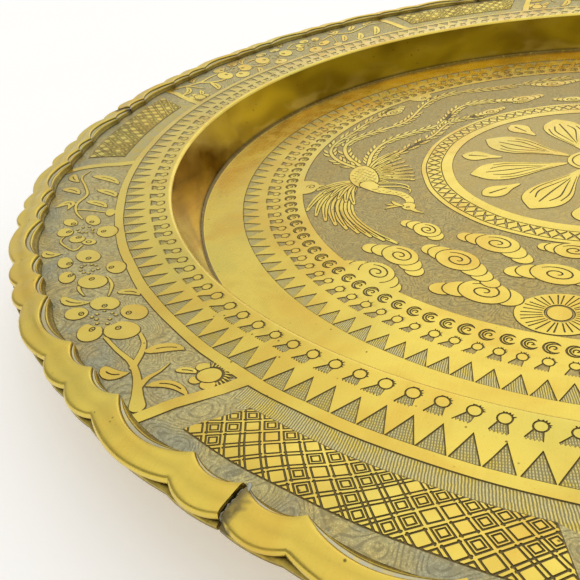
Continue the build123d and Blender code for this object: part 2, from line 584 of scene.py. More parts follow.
def large_spray(p, r, a):
    """The largest flower, with its branch to the divider and a rayed bud on it."""
    branches(
        p, r, a,
        [(49.5, 11.2, 4.6), (44.5, 8.2, 2.9), (37.5, 4.6, 2.3), (30, 2.6, 2.0), (22, 3.2, 1.5),
         (12.5, 3.4, 1.3)],
        [(33, 3.6, 2.0), (27.5, -1.8, 1.9), (22, -5.2, 1.5), (15.5, -6.6, 1.2)],
        [(43.5, 7.8, 2.0), (40.6, 3.0, 1.8), (39.6, -1.6, 1.0), (37.6, -6.0, 0.5)],
    )
    leaves(
        p, r, a,
        ((27.0, 10.0), (32.5, 12.0), (34.5, 5.4), 4.6),
        ((27.8, -3.0), (26.5, -11.5), (33.4, -13.8), 5.2),
        ((43.8, 5.2), (46.0, -3.6), (56.4, -0.9), 3.6),
        ((42.3, -5.6), (44.0, -9.4), (47.6, -9.4), 3.2),
    )
    flower(p, r, a, [
        (10.6, -2.6, 5.9, 5.6, 0), (6.6, 6.6, 5.2, 4.1, 10), (-7.2, 7.4, 4.2, 3.7, -30),
        (-9.6, -3.2, 5.3, 5.0, 0), (0.4, -10.4, 5.9, 4.4, 0)], 6.0)
    bud_u, bud_v, size, reach = 51.2, -11.6, 3.9, 62
    for x, y, petal in ((46.0, -12.8, 2.2), (55.0, -8.4, 2.3), (50.6, -7.2, 2.0)):
        p.leave(lambda u, v: disc(u, v, x, y, petal), r, a, reach)
    p.leave(lambda u, v: disc(u, v, bud_u, bud_v, size), r, a, reach)
    p.cut(lambda u, v: np.abs(disc(u, v, bud_u, bud_v, size)) - 0.21, r, a, reach)
    for k in range(13):
        t = radians(212 + 13 * k)
        ray = [(bud_u + 4.9 * cos(t), bud_v + 4.7 * sin(t), 0.75),
               (bud_u + 7.4 * cos(t + 0.1), bud_v + 6.4 * sin(t + 0.1), 0.3)]
        p.leave(lambda u, v: stroke(u, v, ray), r, a, reach)


def middle_spray(p, r, a):
    """The second flower, with a small round bud on a curling twig."""
    branches(
        p, r, a,
        [(9, 3.5, 1.0), (15, 5.6, 1.2), (21, 5.0, 0.6)],
        [(9, -5.5, 1.0), (16, -6.0, 1.2), (24, -3.0, 0.6)],
    )
    leaves(
        p, r, a,
        ((17.5, 12.0), (26.0, 11.5), (26.5, 3.8), 4.0),
        ((22.6, -6.5), (22.0, -12.5), (28.4, -12.8), 4.2),
        ((-20.5, 14.6), (-15.5, 15.4), (-15.0, 8.5), 4.2),
    )
    flower(p, r, a, [
        (11.2, 0.0, 5.4, 5.2, 0), (4.8, 8.2, 4.4, 2.9, 0), (-7.4, 7.8, 4.4, 2.8, 0),
        (-11.0, -1.2, 5.5, 4.6, 0), (1.6, -10.0, 5.6, 3.7, 0)], 5.6)
    p.leave(lambda u, v: disc(u, v, -24.0, -2.4, 2.8), r, a, 32)
    p.cut(lambda u, v: np.abs(disc(u, v, -24.0, -2.2, 1.0)) - 0.2, r, a, 32)
    branches(p, r, a, [(-21, 0.6, 0.9), (-17, 4.0, 0.9), (-26, 8.6, 0.9), (-32, 6.0, 0.5)])


def vine(p, r, a):
    """The third flower, at the root of a wavy vine with leaves."""
    flower(p, r, a, [
        (8.4, 3.6, 3.4, 3.0, 20), (1.2, 8.4, 4.0, 3.2, 0), (-8.4, 6.6, 3.6, 2.8, -20),
        (-10.6, -2.6, 5.4, 3.1, -12), (2.0, -8.6, 5.8, 4.6, 0)], 4.8)
    branches(
        p, r, a,
        [(-12, 2.0, 0.9), (-20, 5.2, 1.1), (-28, 5.6, 1.2), (-38, 2.4, 1.3), (-48, 5.0, 1.2),
         (-58, 8.6, 1.0), (-66, 6.4, 0.6)],
    )
    leaves(
        p, r, a,
        ((-25.0, 15.0), (-34.0, 5.6), (-21.5, 9.2), 4.2),
        ((-45.0, 15.2), (-44.0, 8.8), (-38.0, 6.0), 5.0),
        ((-62.0, 13.2), (-57.0, 14.2), (-52.5, 8.6), 4.4),
        ((-30.5, 1.8), (-30.0, -6.0), (-24.0, -7.8), 4.6),
        ((-44.0, -1.0), (-43.0, -10.0), (-36.0, -10.8), 5.0),
        ((-60.0, 4.0), (-60.5, -6.0), (-52.0, -10.2), 5.2),
    )
    p.leave(lambda u, v: oval(u, v, -18.4, -10.0, 4.0, 2.2, 0), r, a, 30)
    branches(p, r, a, [(-22, 4.6, 0.9), (-21, -2.0, 0.9), (-18.6, -9.0, 0.8)])


def flange_pattern():
    """One sector of the flange: dots, triangles, then a flower panel and a lattice panel."""
    p = Pattern(FLANGE_INNER, FLANGE_OUTER, SECTOR_START, SECTOR, grid_step(0.2), True)
    p.ring(True, PANEL_INNER, FLANGE_OUTER + 5)
    divider_strips(p)
    lattice(p, 250.5, 271.9, 246.6, 264.8, 4.95)
    large_spray(p, 256.2, 235.7)
    middle_spray(p, 253.2, 226.9)
    vine(p, 251.8, 218.8)

    # Rings of dots and triangles stand clear of the panels
    triangle_row(p, 36, FLANGE_BASE, FLANGE_APEX)
    rayed_dot_row(p, 33, DOT_RADIUS, 1.75, 3.0)
    return p


def floor_band_pattern():
    """One sector of the floor's rows of triangles, dots and crescents."""
    step = grid_step(0.22)
    p = Pattern(FLOOR_BAND_INNER, FLOOR_BAND_OUTER, SECTOR_START, SECTOR, step, True)
    triangle_row(p, 27, FLOOR_BASE, FLOOR_APEX)
    rayed_dot_row(p, 26, FLOOR_DOT_RADIUS, 1.7, 2.9)
    crescent_row(p, 27, CRESCENT_RADIUS, 3.35)
    return p


def overlay(pattern, radius, angle, shape, reach, groove=0.45):
    """Leaves a shape standing over what is there, with a groove where they meet."""
    pattern.cut(lambda u, v: shape(u, v) - groove, radius, angle, reach)
    pattern.leave(shape, radius, angle, reach)


def cloud(pattern, radius, angle, size, left, right):
    """A curled cloud: fingers that step away to the left and right of a spiral.

    left and right are (number of fingers, rise of each over its inner neighbour)."""
    reach = size * 4.6
    for sign, (count, rise) in ((-1, left), (1, right)):
        for k in range(count, 0, -1):
            x = sign * size * (0.42 + 0.72 * k)
            y = size * (rise * k + 0.05 * k * k)
            along, across = size * 1.12 * 0.80**k, size * 0.86 * 0.80**k
            tilt = sign * degrees(atan(rise + 0.1 * k))
            overlay(
                pattern, radius, angle,
                lambda u, v: oval(u, v, x, y, along, across, tilt), reach,
            )
    overlay(pattern, radius, angle, lambda u, v: oval(u, v, 0, 0, size * 1.34, size * 0.98), reach)
    curl = spiral_run(0, 0, size * 0.78, size * 0.12, 215, 1.6, 0.62)
    cut_stroke(pattern, radius, angle, [(x * 1.3, y * 0.92, w) for x, y, w in curl])


def feather_eye(pattern, radius, angle, size, turn):
    """The end of a tail feather: a fan of barbs about a round eye."""
    def fan(u, v):
        notch = oval(u, v, -size * 1.5, 0, size * 0.8, size * 0.8)
        return np.maximum(oval(u, v, 0, 0, size * 1.25, size), -notch)

    pattern.leave(fan, radius, angle, size * 1.6, turn)
    for k in range(30):
        a = radians(12 * k + wavering(2))
        inner, outer = size * 0.46, size * (0.9 + wavering(0.06))
        barb = [
            (inner * cos(a), inner * sin(a), 0.34),
            (outer * 1.2 * cos(a), outer * sin(a), 0.5),
        ]
        pattern.cut(lambda u, v: stroke(u, v, barb), radius, angle, size * 1.6, turn)
    pattern.cut(lambda u, v: disc(u, v, 0, 0, size * 0.42), radius, angle, size, turn)
    pattern.leave(lambda u, v: disc(u, v, 0, 0, size * 0.34), radius, angle, size, turn)


def plume(pattern, radius, angle, points, barbs, length):
    """A long tail feather: a wavy quill with pairs of barbs that sweep back."""
    run = smooth(points, 8)
    for k in range(1, barbs):
        x, y, _ = run[int(k * (len(run) - 1) / barbs)]
        ahead = run[min(int(k * (len(run) - 1) / barbs) + 1, len(run) - 1)]
        heading = atan2(ahead[1] - y, ahead[0] - x)
        for side in (-1, 1):
            a = heading + side * radians(38)
            b = heading + side * radians(16)
            tip = (x + length * (cos(a) + cos(b)) / 2, y + length * (sin(a) + sin(b)) / 2)
            bend = (x + length * 0.6 * cos(a), y + length * 0.6 * sin(a))
            run_barb = leaf_run((x, y), bend, tip, 1.7, 5)
            leave_stroke(pattern, radius, angle, run_barb, 0.4)
    leave_stroke(pattern, radius, angle, run, 0.45)


def feather(pattern, radius, angle, root, tip, width, bend=0.0):
    """One wing feather with its quill cut in."""
    middle = ((root[0] + tip[0]) / 2, (root[1] + tip[1]) / 2)
    across = (-(tip[1] - root[1]) * bend, (tip[0] - root[0]) * bend)
    bow = (middle[0] + across[0], middle[1] + across[1])
    run = smooth([(*root, width * 0.7), (*bow, width), (*tip, width * 0.45)], 5)
    leave_stroke(pattern, radius, angle, run, 0.42)
    cut_stroke(pattern, radius, angle, [(x, y, 0.4) for x, y, _ in run[3:-1]])


def scales(pattern, radius, angle, centre, along, across, turn, pitch):
    """Rows of small cut arcs inside an oval, like breast feathers."""
    c, s = cos(radians(turn)), sin(radians(turn))
    rows = int(2 * along / (pitch * 0.8))
    for i in range(-rows // 2, rows // 2 + 1):
        for j in range(-6, 7):
            x = i * pitch * 0.8
            y = (j + 0.5 * (i % 2)) * pitch
            if (x / (along - 1.2)) ** 2 + (y / (across - 1.0)) ** 2 > 1:
                continue
            px, py = centre[0] + x * c - y * s, centre[1] + x * s + y * c
            cut_stroke(
                pattern, radius, angle,
                arc_run(px, py, pitch * 0.46, turn - 75, turn + 75, (0.25, 0.42, 0.25), 6),
            )


def bird_tail(pattern, radius, angle):
    """Four streaming plumes, the farthest first, and three loose feather eyes."""
    for points, barbs in (
        ([(-10, 2, 2.2), (-40, 20, 2.0), (-80, 4, 1.8), (-122, 22, 1.6), (-160, 14, 1.4),
          (-200, 21, 1.2)], 34),
        ([(-10, -2, 2.2), (-44, -2, 2.0), (-86, -18, 1.8), (-124, -4, 1.6), (-158, -14, 1.2)], 28),
        ([(-10, -5, 2.0), (-36, -18, 1.8), (-66, -25, 1.6), (-96, -21, 1.2), (-116, -26, 0.9)], 20),
        ([(-8, 4, 2.0), (-30, 26, 1.8), (-60, 25, 1.5), (-88, 27, 1.0)], 16),
    ):
        plume(pattern, radius, angle, points, barbs, 8.5)
    for x, y, size in ((-160, -14, 6.5), (-118, -25, 5.0), (-90, 26, 5.0)):
        feather_eye(pattern, radius + y, angle + degrees(x / radius), size, 180)


def bird_wings(pattern, radius, angle):
    """The far wing spread forwards and outwards, then the near one swept back and inwards."""
    for k in range(9):
        spread = k / 8
        tip = (78 - 46 * spread, 6 + 25 * spread)
        root = (10 + 6 * (1 - spread), 4 + 5 * spread)
        feather(pattern, radius, angle, root, tip, 3.6, 0.10)
    for k in range(6):
        tip = (34 - 4.0 * k, 7 + 3.4 * k)
        feather(pattern, radius, angle, (8, 3), tip, 3.4, 0.06)
    for k in range(9):
        spread = k / 8
        tip = (-34 + 48 * spread, -14 - 15 * min(1, spread * 1.5) + 2 * spread)
        feather(pattern, radius, angle, (2 + 5 * spread, -3), tip, 3.5, -0.08)
    for k in range(6):
        tip = (-16 + 6.0 * k, -13.5 - 3 * sin(k * pi / 5))
        feather(pattern, radius, angle, (4, -2), tip, 3.2, -0.05)


def bird_body(pattern, radius, angle):
    """Scaled body, ruffled neck, crested head with beak and eye, and drawn-up feet."""
    overlay(pattern, radius, angle, lambda u, v: oval(u, v, 4, -1, 15, 7.6, -12), 24)
    scales(pattern, radius, angle, (3, -1), 13.5, 6.8, -12, 2.6)
    neck = smooth([(14, -3, 8.5), (24, -9, 6.0), (32, -17, 4.8), (41, -19.5, 4.2), (48, -17, 4.6)], 6)
    leave_stroke(pattern, radius, angle, neck, 0.45)
    for x, y, w in neck[4:17:2]:
        ruffle = arc_run(x - 1.2, y, w * 0.36, -60, 60, (0.3, 0.42, 0.3), 6)
        cut_stroke(pattern, radius, angle, ruffle)
    overlay(pattern, radius, angle, lambda u, v: oval(u, v, 49, -16.4, 4.6, 3.4, 5), 58)
    leave_stroke(pattern, radius, angle, [(52, -16.4, 3.0), (57, -17.4, 1.5), (61, -19.4, 0.5)])
    for tip in ((41, -7), (46, -5), (38, -11)):
        leave_stroke(pattern, radius, angle, leaf_run((47.5, -14.2), (44, -11), tip, 2.0), 0.4)
    cut_stroke(pattern, radius, angle, arc_run(50, -15.6, 0.8, 0, 350, (0.4, 0.4), 9))
    for x in (14, 19):
        foot = smooth([(x, -9, 1.6), (x + 3, -18, 1.2), (x + 9, -23, 1.0), (x + 14, -22, 0.5)], 5)
        leave_stroke(pattern, radius, angle, foot, 0.4)


def frieze_pattern():
    """Half of the frieze and of the medallion's borders: a bird, its tail and clouds."""
    p = Pattern(DISC_ZONE, FLOOR_BAND_INNER, 60.0, 180.0, grid_step(0.26), True)
    p.ring(True, FRIEZE_INNER, FRIEZE_OUTER)
    p.ring(True, DISC_ZONE - 5, DISC_RADIUS)
    middle = (FRIEZE_INNER + FRIEZE_OUTER) / 2
    # Pointed ornaments hang from the outer ring
    hung_at = 146.5
    for angle in (199.9, 140.0):
        p.leave(lambda u, v: np.maximum(oval(u, v, 0, 4, 8, 9), v - 5), hung_at, angle, 16)
        p.leave(lambda u, v: stroke(u, v, [(0, 0, 6), (0, -8.5, 0.6)]), hung_at, angle, 16)
        cut_stroke(p, hung_at, angle, spiral_run(0, -0.4, 2.8, 0.5, 90, 1.3, 0.45, 14))
    # A crested bird that flies with the angle, its tail streaming behind it
    for part in (bird_tail, bird_wings, bird_body):
        part(p, middle, 195.0)
    feather_eye(p, 137.0, 88.3, 12.5, 160)
    for angle, radius, size, left, right in (
        (238.2, 146.0, 6.6, (2, 0.28), (2, 0.15)),
        (236.9, 130.0, 6.8, (2, 0.30), (2, 0.24)),
        (256.0, 133.0, 7.6, (2, 0.26), (1, -0.05)),
        (246.7, 117.6, 7.2, (2, -0.10), (3, 0.24)),
        (232.6, 107.5, 5.4, (2, 0.18), (1, 0.10)),
        (250.2, 97.5, 7.0, (2, 0.05), (2, 0.34)),
        (266.2, 111.0, 7.4, (2, 0.12), (2, 0.08)),
        (268.6, 92.0, 5.8, (2, -0.15), (2, 0.10)),
        (152.0, 141.0, 4.6, (2, 0.15), (2, 0.15)),
        (116.0, 105.0, 5.2, (2, 0.10), (3, 0.12)),
        (104.0, 128.0, 5.4, (3, 0.10), (2, 0.10)),
        (100.0, 95.0, 4.4, (2, 0.10), (2, 0.10)),
        (132.0, 93.5, 4.2, (2, 0.05), (2, 0.05)),
    ):
        cloud(p, radius, angle, size, left, right)
    # The frieze's own rings lie over whatever reaches them
    p.ring(False, FRIEZE_OUTER, FLOOR_BAND_INNER + 5)
    p.ring(False, CROSS_INNER, FRIEZE_INNER)
    crosses = 42
    cross_radius = (CROSS_OUTER + CROSS_INNER) / 2
    half = (CROSS_OUTER - CROSS_INNER) / 2 - 0.9
    for k in range(crosses):
        angle = p.start + p.span * (k + 0.5) / crosses + wavering(0.2)
        for side in (-1, 1):
            lean = half * 0.78
            cut_stroke(
                p, cross_radius, angle,
                [(-lean * side, -half, 0.7), (0, 0, 1.25), (lean * side, half, 0.7)],
            )
    for radius in (CROSS_OUTER, CROSS_INNER):
        p.ring(True, radius - 0.22, radius + 0.22)
    return p


def rosette_pattern():
    """One eighth of the rosette in the middle of the floor: a petal and half-buds."""
    span = 360.0 / PETALS
    p = Pattern(HUB_RADIUS, DISC_ZONE, 0.0, span, grid_step(0.22), False)
    middle = 38.0
    petal = smooth([(0, -22, 7), (0, -12, 12), (0, 2, 18), (0, 12, 15), (0, 19, 7), (0, 23.5, 1.2)], 5)
    bud = smooth([(0, 8, 1.6), (0, 14, 4.0), (0, 20, 7.6), (0, 24, 6.0), (0, 28, 1.0)], 5)
    leave_stroke(p, middle, 0.0, bud)
    cut_stroke(p, middle, 0.0, [(0, 15, 0.4), (0, 24.5, 0.6)])
    leave_stroke(p, middle, span / 2, petal, 0.9)
    cut_stroke(p, middle, span / 2, [(0, -14, 0.5), (0, 4, 0.8), (0, 16, 0.4)])
    vein = [(1.4, -12, 0.4), (3.8, -2, 0.6), (4.6, 6, 0.6), (2.6, 13, 0.4)]
    rim = [(3.4, -17, 0.4), (6.4, -6, 0.5), (7.4, 3, 0.5), (6.0, 11, 0.4)]
    for side in (-1, 1):
        for run in (vein, rim):
            mirrored = [(side * x, y, w) for x, y, w in run]
            cut_stroke(p, middle, span / 2, smooth(mirrored, 5))
    p.ring(False, HUB_RADIUS - 3, 12.0)
    p.ring(True, 9.4, 10.0)
    return p


# ---------------------------------------------------------------- materials
class Nodes:
    """Short ways to add nodes to a tree and wire them."""

    def __init__(self, tree):
        self.tree = tree

    def node(self, kind, inputs=None, **settings):
        node = self.tree.nodes.new(kind)
        for key, value in settings.items():
            setattr(node, key, value)
        for key, value in (inputs or {}).items():
            self.feed(node.inputs[key], value)
        return node

    def feed(self, socket, value):
        if isinstance(value, bpy.types.NodeSocket):
            self.tree.links.new(value, socket)
        else:
            socket.default_value = value

    def math(self, operation, *values):
        node = self.node("ShaderNodeMath", operation=operation)
        for socket, value in zip(node.inputs, values):
            self.feed(socket, value)
        return node.outputs[0]

    def times(self, *values):
        return self.math("MULTIPLY", *values)

    def plus(self, *values):
        return self.math("ADD", *values)

    def most(self, *values):
        return self.math("MAXIMUM", *values)

    def parts(self, vector):
        """The x, y and z of a vector."""
        return self.node("ShaderNodeSeparateXYZ", {0: vector}).outputs

    def from_axis(self, vector):
        """Distance from the z axis."""
        x, y, _ = self.parts(vector)
        return self.math("SQRT", self.plus(self.math("POWER", x, 2.0), self.math("POWER", y, 2.0)))

    def place(self):
        """Object coordinates, in millimetres."""
        coordinates = self.node("ShaderNodeTexCoord").outputs["Object"]
        scaled = self.node("ShaderNodeVectorMath", {0: coordinates}, operation="SCALE")
        scaled.inputs["Scale"].default_value = 1 / MM
        return scaled.outputs[0]

    def noise(self, place, size, detail=2.0, rough=0.5, distortion=0.0):
        """Noise from 0 to 1 with features of a size in millimetres."""
        node = self.node("ShaderNodeTexNoise", {"Vector": place, "Scale": 1 / size})
        node.inputs["Detail"].default_value = detail
        node.inputs["Roughness"].default_value = rough
        node.inputs["Distortion"].default_value = distortion
        return node.outputs["Fac"]

    def ramp(self, value, low, high, to_low=0.0, to_high=1.0):
        """Smooth step from to_low to to_high, as a value goes from low to high."""
        ends = {"From Min": low, "From Max": high, "To Min": to_low, "To Max": to_high}
        return self.node(
            "ShaderNodeMapRange", {"Value": value, **ends}, interpolation_type="SMOOTHSTEP"
        ).outputs["Result"]

    def mix(self, factor, a, b):
        """One colour turning into another; each is a socket or (red, green, blue)."""
        node = self.node("ShaderNodeMix", {"Factor": factor}, data_type="RGBA")
        colour_sockets = [s for s in node.inputs if s.type == "RGBA"]
        for socket, colour in zip(colour_sockets, (a, b)):
            self.feed(socket, (*colour, 1) if isinstance(colour, tuple) else colour)
        return next(s for s in node.outputs if s.type == "RGBA")

    def bump(self, height, distance, strength):
        """A bumped normal, its full height given in millimetres."""
        inputs = {"Height": height, "Strength": strength, "Distance": distance * MM}
        return self.node("ShaderNodeBump", inputs).outputs["Normal"]


class Shader(Nodes):
    """A principled material."""

    def __init__(self, name, metallic):
        self.material = bpy.data.materials.new(name)
        self.material.use_nodes = True
        super().__init__(self.material.node_tree)
        self.principled = self.tree.nodes["Principled BSDF"]
        self.principled.inputs["Metallic"].default_value = metallic

    def finish(self, colour, roughness, normal=None):
        self.feed(self.principled.inputs["Base Color"], colour)
        self.feed(self.principled.inputs["Roughness"], roughness)
        if normal:
            self.feed(self.principled.inputs["Normal"], normal)
        return self.material


BRIGHT_BRASS = (0.83, 0.645, 0.120)
BORDER_BRASS = (0.76, 0.575, 0.100)
WARM_BRASS = (0.74, 0.49, 0.080)
GREEN_BRASS = (0.68, 0.58, 0.130)
TARNISHED_BRASS = (0.31, 0.178, 0.005)
DEEP_BRASS = (0.54, 0.34, 0.010)
LINE_BROWN = (0.085, 0.060, 0.018)
GROUND_BEIGE = (0.72, 0.62, 0.260)
GROUND_YELLOW = (0.64, 0.50, 0.165)
GROUND_DARK = (0.165, 0.140, 0.075)
GROUND_BLUE = (0.42, 0.435, 0.320)
SOLDER_GREY = (0.27, 0.27, 0.22)
TIN_WHITE = (0.44, 0.44, 0.355)
CUT_BROWN = (0.165, 0.125, 0.045)


def specks(s, place, size, threshold):
    """Sparse small dark spots, from 0 to 1."""
    node = s.node("ShaderNodeTexVoronoi", {"Vector": place, "Scale": 1 / size, "Randomness": 1.0})
    near = s.ramp(node.outputs["Distance"], 0.05, 0.16, 1.0, 0.0)
    chance = s.node("ShaderNodeSeparateColor", {"Color": node.outputs["Color"]}).outputs[0]
    return s.times(near, s.math("GREATER_THAN", chance, threshold))


def scratches(s, place, angle, size):
    """Long fine parallel scratches, from 0 to 1."""
    drawn_out = {"Rotation": (0, 0, radians(angle)), "Scale": (1 / size, 0.035 / size, 1.0)}
    turned = s.node("ShaderNodeMapping", {"Vector": place, **drawn_out}).outputs[0]
    return s.noise(turned, 1.0)


def brass_surface(name, colour=BRIGHT_BRASS, roughness=0.24, speckle=0.86, dirty_and_shaded=False):
    """Polished brass, handled for years: faint scratches, warm and green patches, brown specks.

    One for the border is darkened and tinned where its mesh's attributes say: grime, painted shade and
    painted dark reflection, and tin."""
    s = Shader(name, 1.0)
    place = s.place()
    patches = s.ramp(s.noise(place, 38, 3, 0.55, 0.6), 0.42, 0.66)
    tinted = s.mix(s.times(patches, 0.75), colour, WARM_BRASS)
    green = s.ramp(s.noise(place, 60, 2, 0.5, 0.3), 0.52, 0.70)
    tinted = s.mix(s.times(green, 0.55), tinted, GREEN_BRASS)
    spots = specks(s, place, 3.4, speckle)
    fine = s.ramp(s.noise(place, 0.8, 3, 0.7), 0.60, 0.74)
    grime = s.most(s.times(spots, 0.85), s.times(fine, 0.18))
    tinted = s.mix(grime, tinted, LINE_BROWN)
    marks = s.plus(scratches(s, place, 24, 0.5), scratches(s, place, -52, 0.65))
    rough = s.ramp(s.noise(place, 9, 4, 0.6), 0.3, 0.75, roughness - 0.05, roughness + 0.13)
    rough = s.plus(rough, s.ramp(marks, 0.9, 1.5, 0.0, 0.12))
    if dirty_and_shaded:
        # Darkened where the mesh's attribute says: grime, plus painted shade and painted dark
        # reflection on the border's lower outer layer and inner wall
        dirt_and_shade = s.node("ShaderNodeAttribute", attribute_name="dirt_and_shade").outputs["Fac"]
        broken = s.times(dirt_and_shade, s.ramp(s.noise(place, 1.6, 3, 0.6), 0.15, 0.55, 0.55, 1.0))
        tinted = s.mix(broken, tinted, LINE_BROWN)
        rough = s.plus(rough, s.times(dirt_and_shade, 0.25))
        stain = s.node("ShaderNodeAttribute", attribute_name="stain").outputs["Fac"]
        stain = s.times(stain, s.ramp(s.noise(place, 2.4, 3, 0.6), 0.30, 0.62, 0.35, 1.0))
        tinted = s.mix(s.times(stain, 0.9), tinted, TIN_WHITE)
    height = s.plus(s.times(marks, 0.05), s.noise(place, 6.5, 2, 0.45))
    return s.finish(tinted, rough, s.bump(height, 0.045, 0.6))


def brass_wall(name):
    """The well's wall: darker, blotchy brass, partly tarnish that polishing doesn't reach and partly
    painted dark reflection of the dim surroundings.
    """
    s = Shader(name, 1.0)
    place = s.place()
    x, y, z = s.parts(place)
    around = s.times(s.math("ARCTAN2", y, x), MOUTH_RADIUS)
    strip = s.node("ShaderNodeCombineXYZ", {0: s.times(around, 0.5), 1: z}).outputs[0]
    # Two dark brass tones in blotches: partly tarnish, partly painted dark reflection of the dim
    # surroundings
    blotches = s.ramp(s.noise(strip, 24, 1, 0.4, 0.8), 0.25, 0.72)
    tinted = s.mix(blotches, DEEP_BRASS, TARNISHED_BRASS)
    worn = s.ramp(s.noise(strip, 16, 2, 0.45, 0.6), 0.48, 0.72)
    low_down = s.ramp(z, 5.0, 15.0, 1.0, 0.2)
    tinted = s.mix(s.times(s.times(worn, low_down), 0.55), tinted, WARM_BRASS)
    # Darker at the wall's foot, where it meets the floor: grime and painted shade in the crease
    dirt_and_shade = s.times(s.ramp(z, 2.2, 4.2, 0.85, 0.0), s.ramp(s.noise(place, 2.5, 3), 0.2, 0.5, 0.5, 1.0))
    tinted = s.mix(dirt_and_shade, tinted, LINE_BROWN)
    tinted = s.mix(specks(s, place, 4.0, 0.8), tinted, LINE_BROWN)
    rough = s.ramp(s.noise(strip, 10, 3, 0.6), 0.3, 0.7, 0.10, 0.24)
    height = s.plus(s.noise(strip, 12, 2, 0.5), s.times(s.noise(place, 1.5), 0.06))
    return s.finish(tinted, rough, s.bump(height, 0.12, 0.7))


def blue_share(s, place):
    """How far the blue-grey bloom near the border has spread, from 0 to 1."""
    near_rim = s.ramp(s.from_axis(place), 246.0, 268.0)
    return s.times(near_rim, s.ramp(s.noise(place, 16, 3, 0.6), 0.40, 0.62, 0.0, 0.75))


def punched_ground(name):
    """Matted ground: close-set pits with dark rims, crossed by short curved graver strokes."""
    s = Shader(name, 0.7)
    place = s.place()
    cells = {"Vector": place, "Scale": 1 / 0.75}
    pits = s.node("ShaderNodeTexVoronoi", cells, feature="DISTANCE_TO_EDGE").outputs["Distance"]
    walls = s.ramp(pits, 0.02, 0.20, 1.0, 0.0)
    grain = s.ramp(s.noise(place, 1.5, 4, 0.85), 0.44, 0.56)
    turning = s.times(s.noise(place, 16.0, 1, 0.3), 26.0)
    strokes = s.ramp(s.math("PINGPONG", turning, 0.5), 0.08, 0.30, 1.0, 0.0)
    strokes = s.times(strokes, s.ramp(s.noise(place, 1.3, 2, 0.6), 0.36, 0.52, 0.25, 1.0))
    dark = s.most(s.times(walls, 0.50), s.times(grain, 0.62))
    dark = s.most(dark, s.times(strokes, 0.85))
    radius = s.from_axis(place)
    on_flange = s.ramp(radius, 160.0, 215.0)
    dark = s.times(dark, s.ramp(radius, 68.0, 90.0, 0.45, 0.80))
    tone = s.mix(on_flange, GROUND_YELLOW, GROUND_BEIGE)
    tone = s.mix(blue_share(s, place), tone, GROUND_BLUE)
    patches = s.ramp(s.noise(place, 14, 3, 0.6), 0.42, 0.66)
    tone = s.mix(s.times(patches, 0.35), tone, WARM_BRASS)
    tinted = s.mix(dark, tone, GROUND_DARK)
    height = s.plus(pits, s.times(strokes, -0.5))
    return s.finish(tinted, 0.46, s.bump(height, 0.12, 0.9))


def hatched_ground(name, radius, leans):
    """Ground shaded with fine graver lines; each of leans is (angle, pitch, strength).

    The angles and pitches are true at a radius in the middle of the band."""
    s = Shader(name, 0.9)
    place = s.place()
    x, y, _ = s.parts(place)
    around = s.times(s.math("ARCTAN2", y, x), radius)
    out = s.from_axis(place)
    drift = s.times(s.noise(place, 2.5, 2), 0.7)
    cuts = None
    for angle, pitch, strength in leans:
        a, b = cos(radians(angle)) / pitch, sin(radians(angle)) / pitch
        phase = s.plus(s.times(around, a), s.times(out, b))
        wave = s.math("PINGPONG", s.plus(phase, drift), 0.5)
        lines = s.times(s.ramp(wave, 0.12, 0.28, 1.0, 0.0), strength)
        if cuts:
            # Only the first set of lines goes on into the panels
            lines = s.times(lines, s.ramp(out, PANEL_INNER - 1, PANEL_INNER + 1, 1.0, 0.0))
        cuts = s.most(cuts, lines) if cuts else lines
    tone = s.mix(s.ramp(s.noise(place, 5, 3, 0.6), 0.30, 0.62), BRIGHT_BRASS, GROUND_BEIGE)
    tone = s.mix(s.times(blue_share(s, place), 0.8), tone, GROUND_BLUE)
    grain = s.times(s.ramp(s.noise(place, 0.5, 3, 0.7), 0.45, 0.65), 0.3)
    cuts = s.most(cuts, grain)
    tinted = s.mix(s.times(cuts, 0.78), tone, GROUND_DARK)
    height = s.times(cuts, -1.0)
    return s.finish(tinted, 0.40, s.bump(height, 0.10, 0.9))


def cut_line(name):
    """The floor and sides of a graver's cut, filled with old polish and oxide."""
    s = Shader(name, 0.7)
    place = s.place()
    worn = s.ramp(s.noise(place, 2.2, 3, 0.6), 0.45, 0.75)
    tinted = s.mix(s.times(worn, 0.35), CUT_BROWN, TARNISHED_BRASS)
    return s.finish(tinted, 0.5, s.bump(s.noise(place, 0.4), 0.05, 0.6))


def soft_solder(name):
    """Dull grey soft solder with brass showing where it is thin."""
    s = Shader(name, 0.85)
    place = s.place()
    thin = s.ramp(s.noise(place, 1.8, 3, 0.6), 0.45, 0.70)
    tinted = s.mix(s.times(thin, 0.6), SOLDER_GREY, TARNISHED_BRASS)
    tinted = s.mix(s.ramp(s.from_axis(place), 270.8, 271.8, 0.9, 0.0), tinted, TIN_WHITE)
    return s.finish(tinted, 0.45, s.bump(s.noise(place, 0.9, 3, 0.6), 0.18, 0.9))


surface = brass_surface("brass_polished")
wall = brass_wall("brass_well_wall")
line = cut_line("brass_cut_line")
ground = punched_ground("brass_punched_ground")
flange_hatch = hatched_ground(
    "brass_hatched_flange", 231.0, ((-13, 0.72, 1.0), (78, 0.95, 0.7))
)
floor_hatch = hatched_ground("brass_hatched_floor", 178.0, ((-16, 0.75, 1.0),))
border = brass_surface("brass_border", BORDER_BRASS, 0.27, 0.80, True)
solder = soft_solder("soft_solder")


# ---------------------------------------------------------------- meshes
def object_of(mesh, materials, sharp):
    """An object of a mesh, shaded smooth but for edges sharper than an angle."""
    for material in materials:
        mesh.materials.append(material)
    mesh.polygons.foreach_set("use_smooth", np.ones(len(mesh.polygons), bool))
    mesh.set_sharp_from_angle(angle=radians(sharp))
    piece = bpy.data.objects.new(mesh.name, mesh)
    bpy.context.scene.collection.objects.link(piece)
    return piece


def make_object(name, verts, faces, materials, slots=None, sharp=32.0):
    """An object from places in mm and their faces."""
    mesh = bpy.data.meshes.new(name)
    mesh.from_pydata((np.asarray(verts) * MM).tolist(), [], faces)
    if slots is not None:
        mesh.polygons.foreach_set("material_index", np.asarray(slots, np.int32))
    return object_of(mesh, materials, sharp)


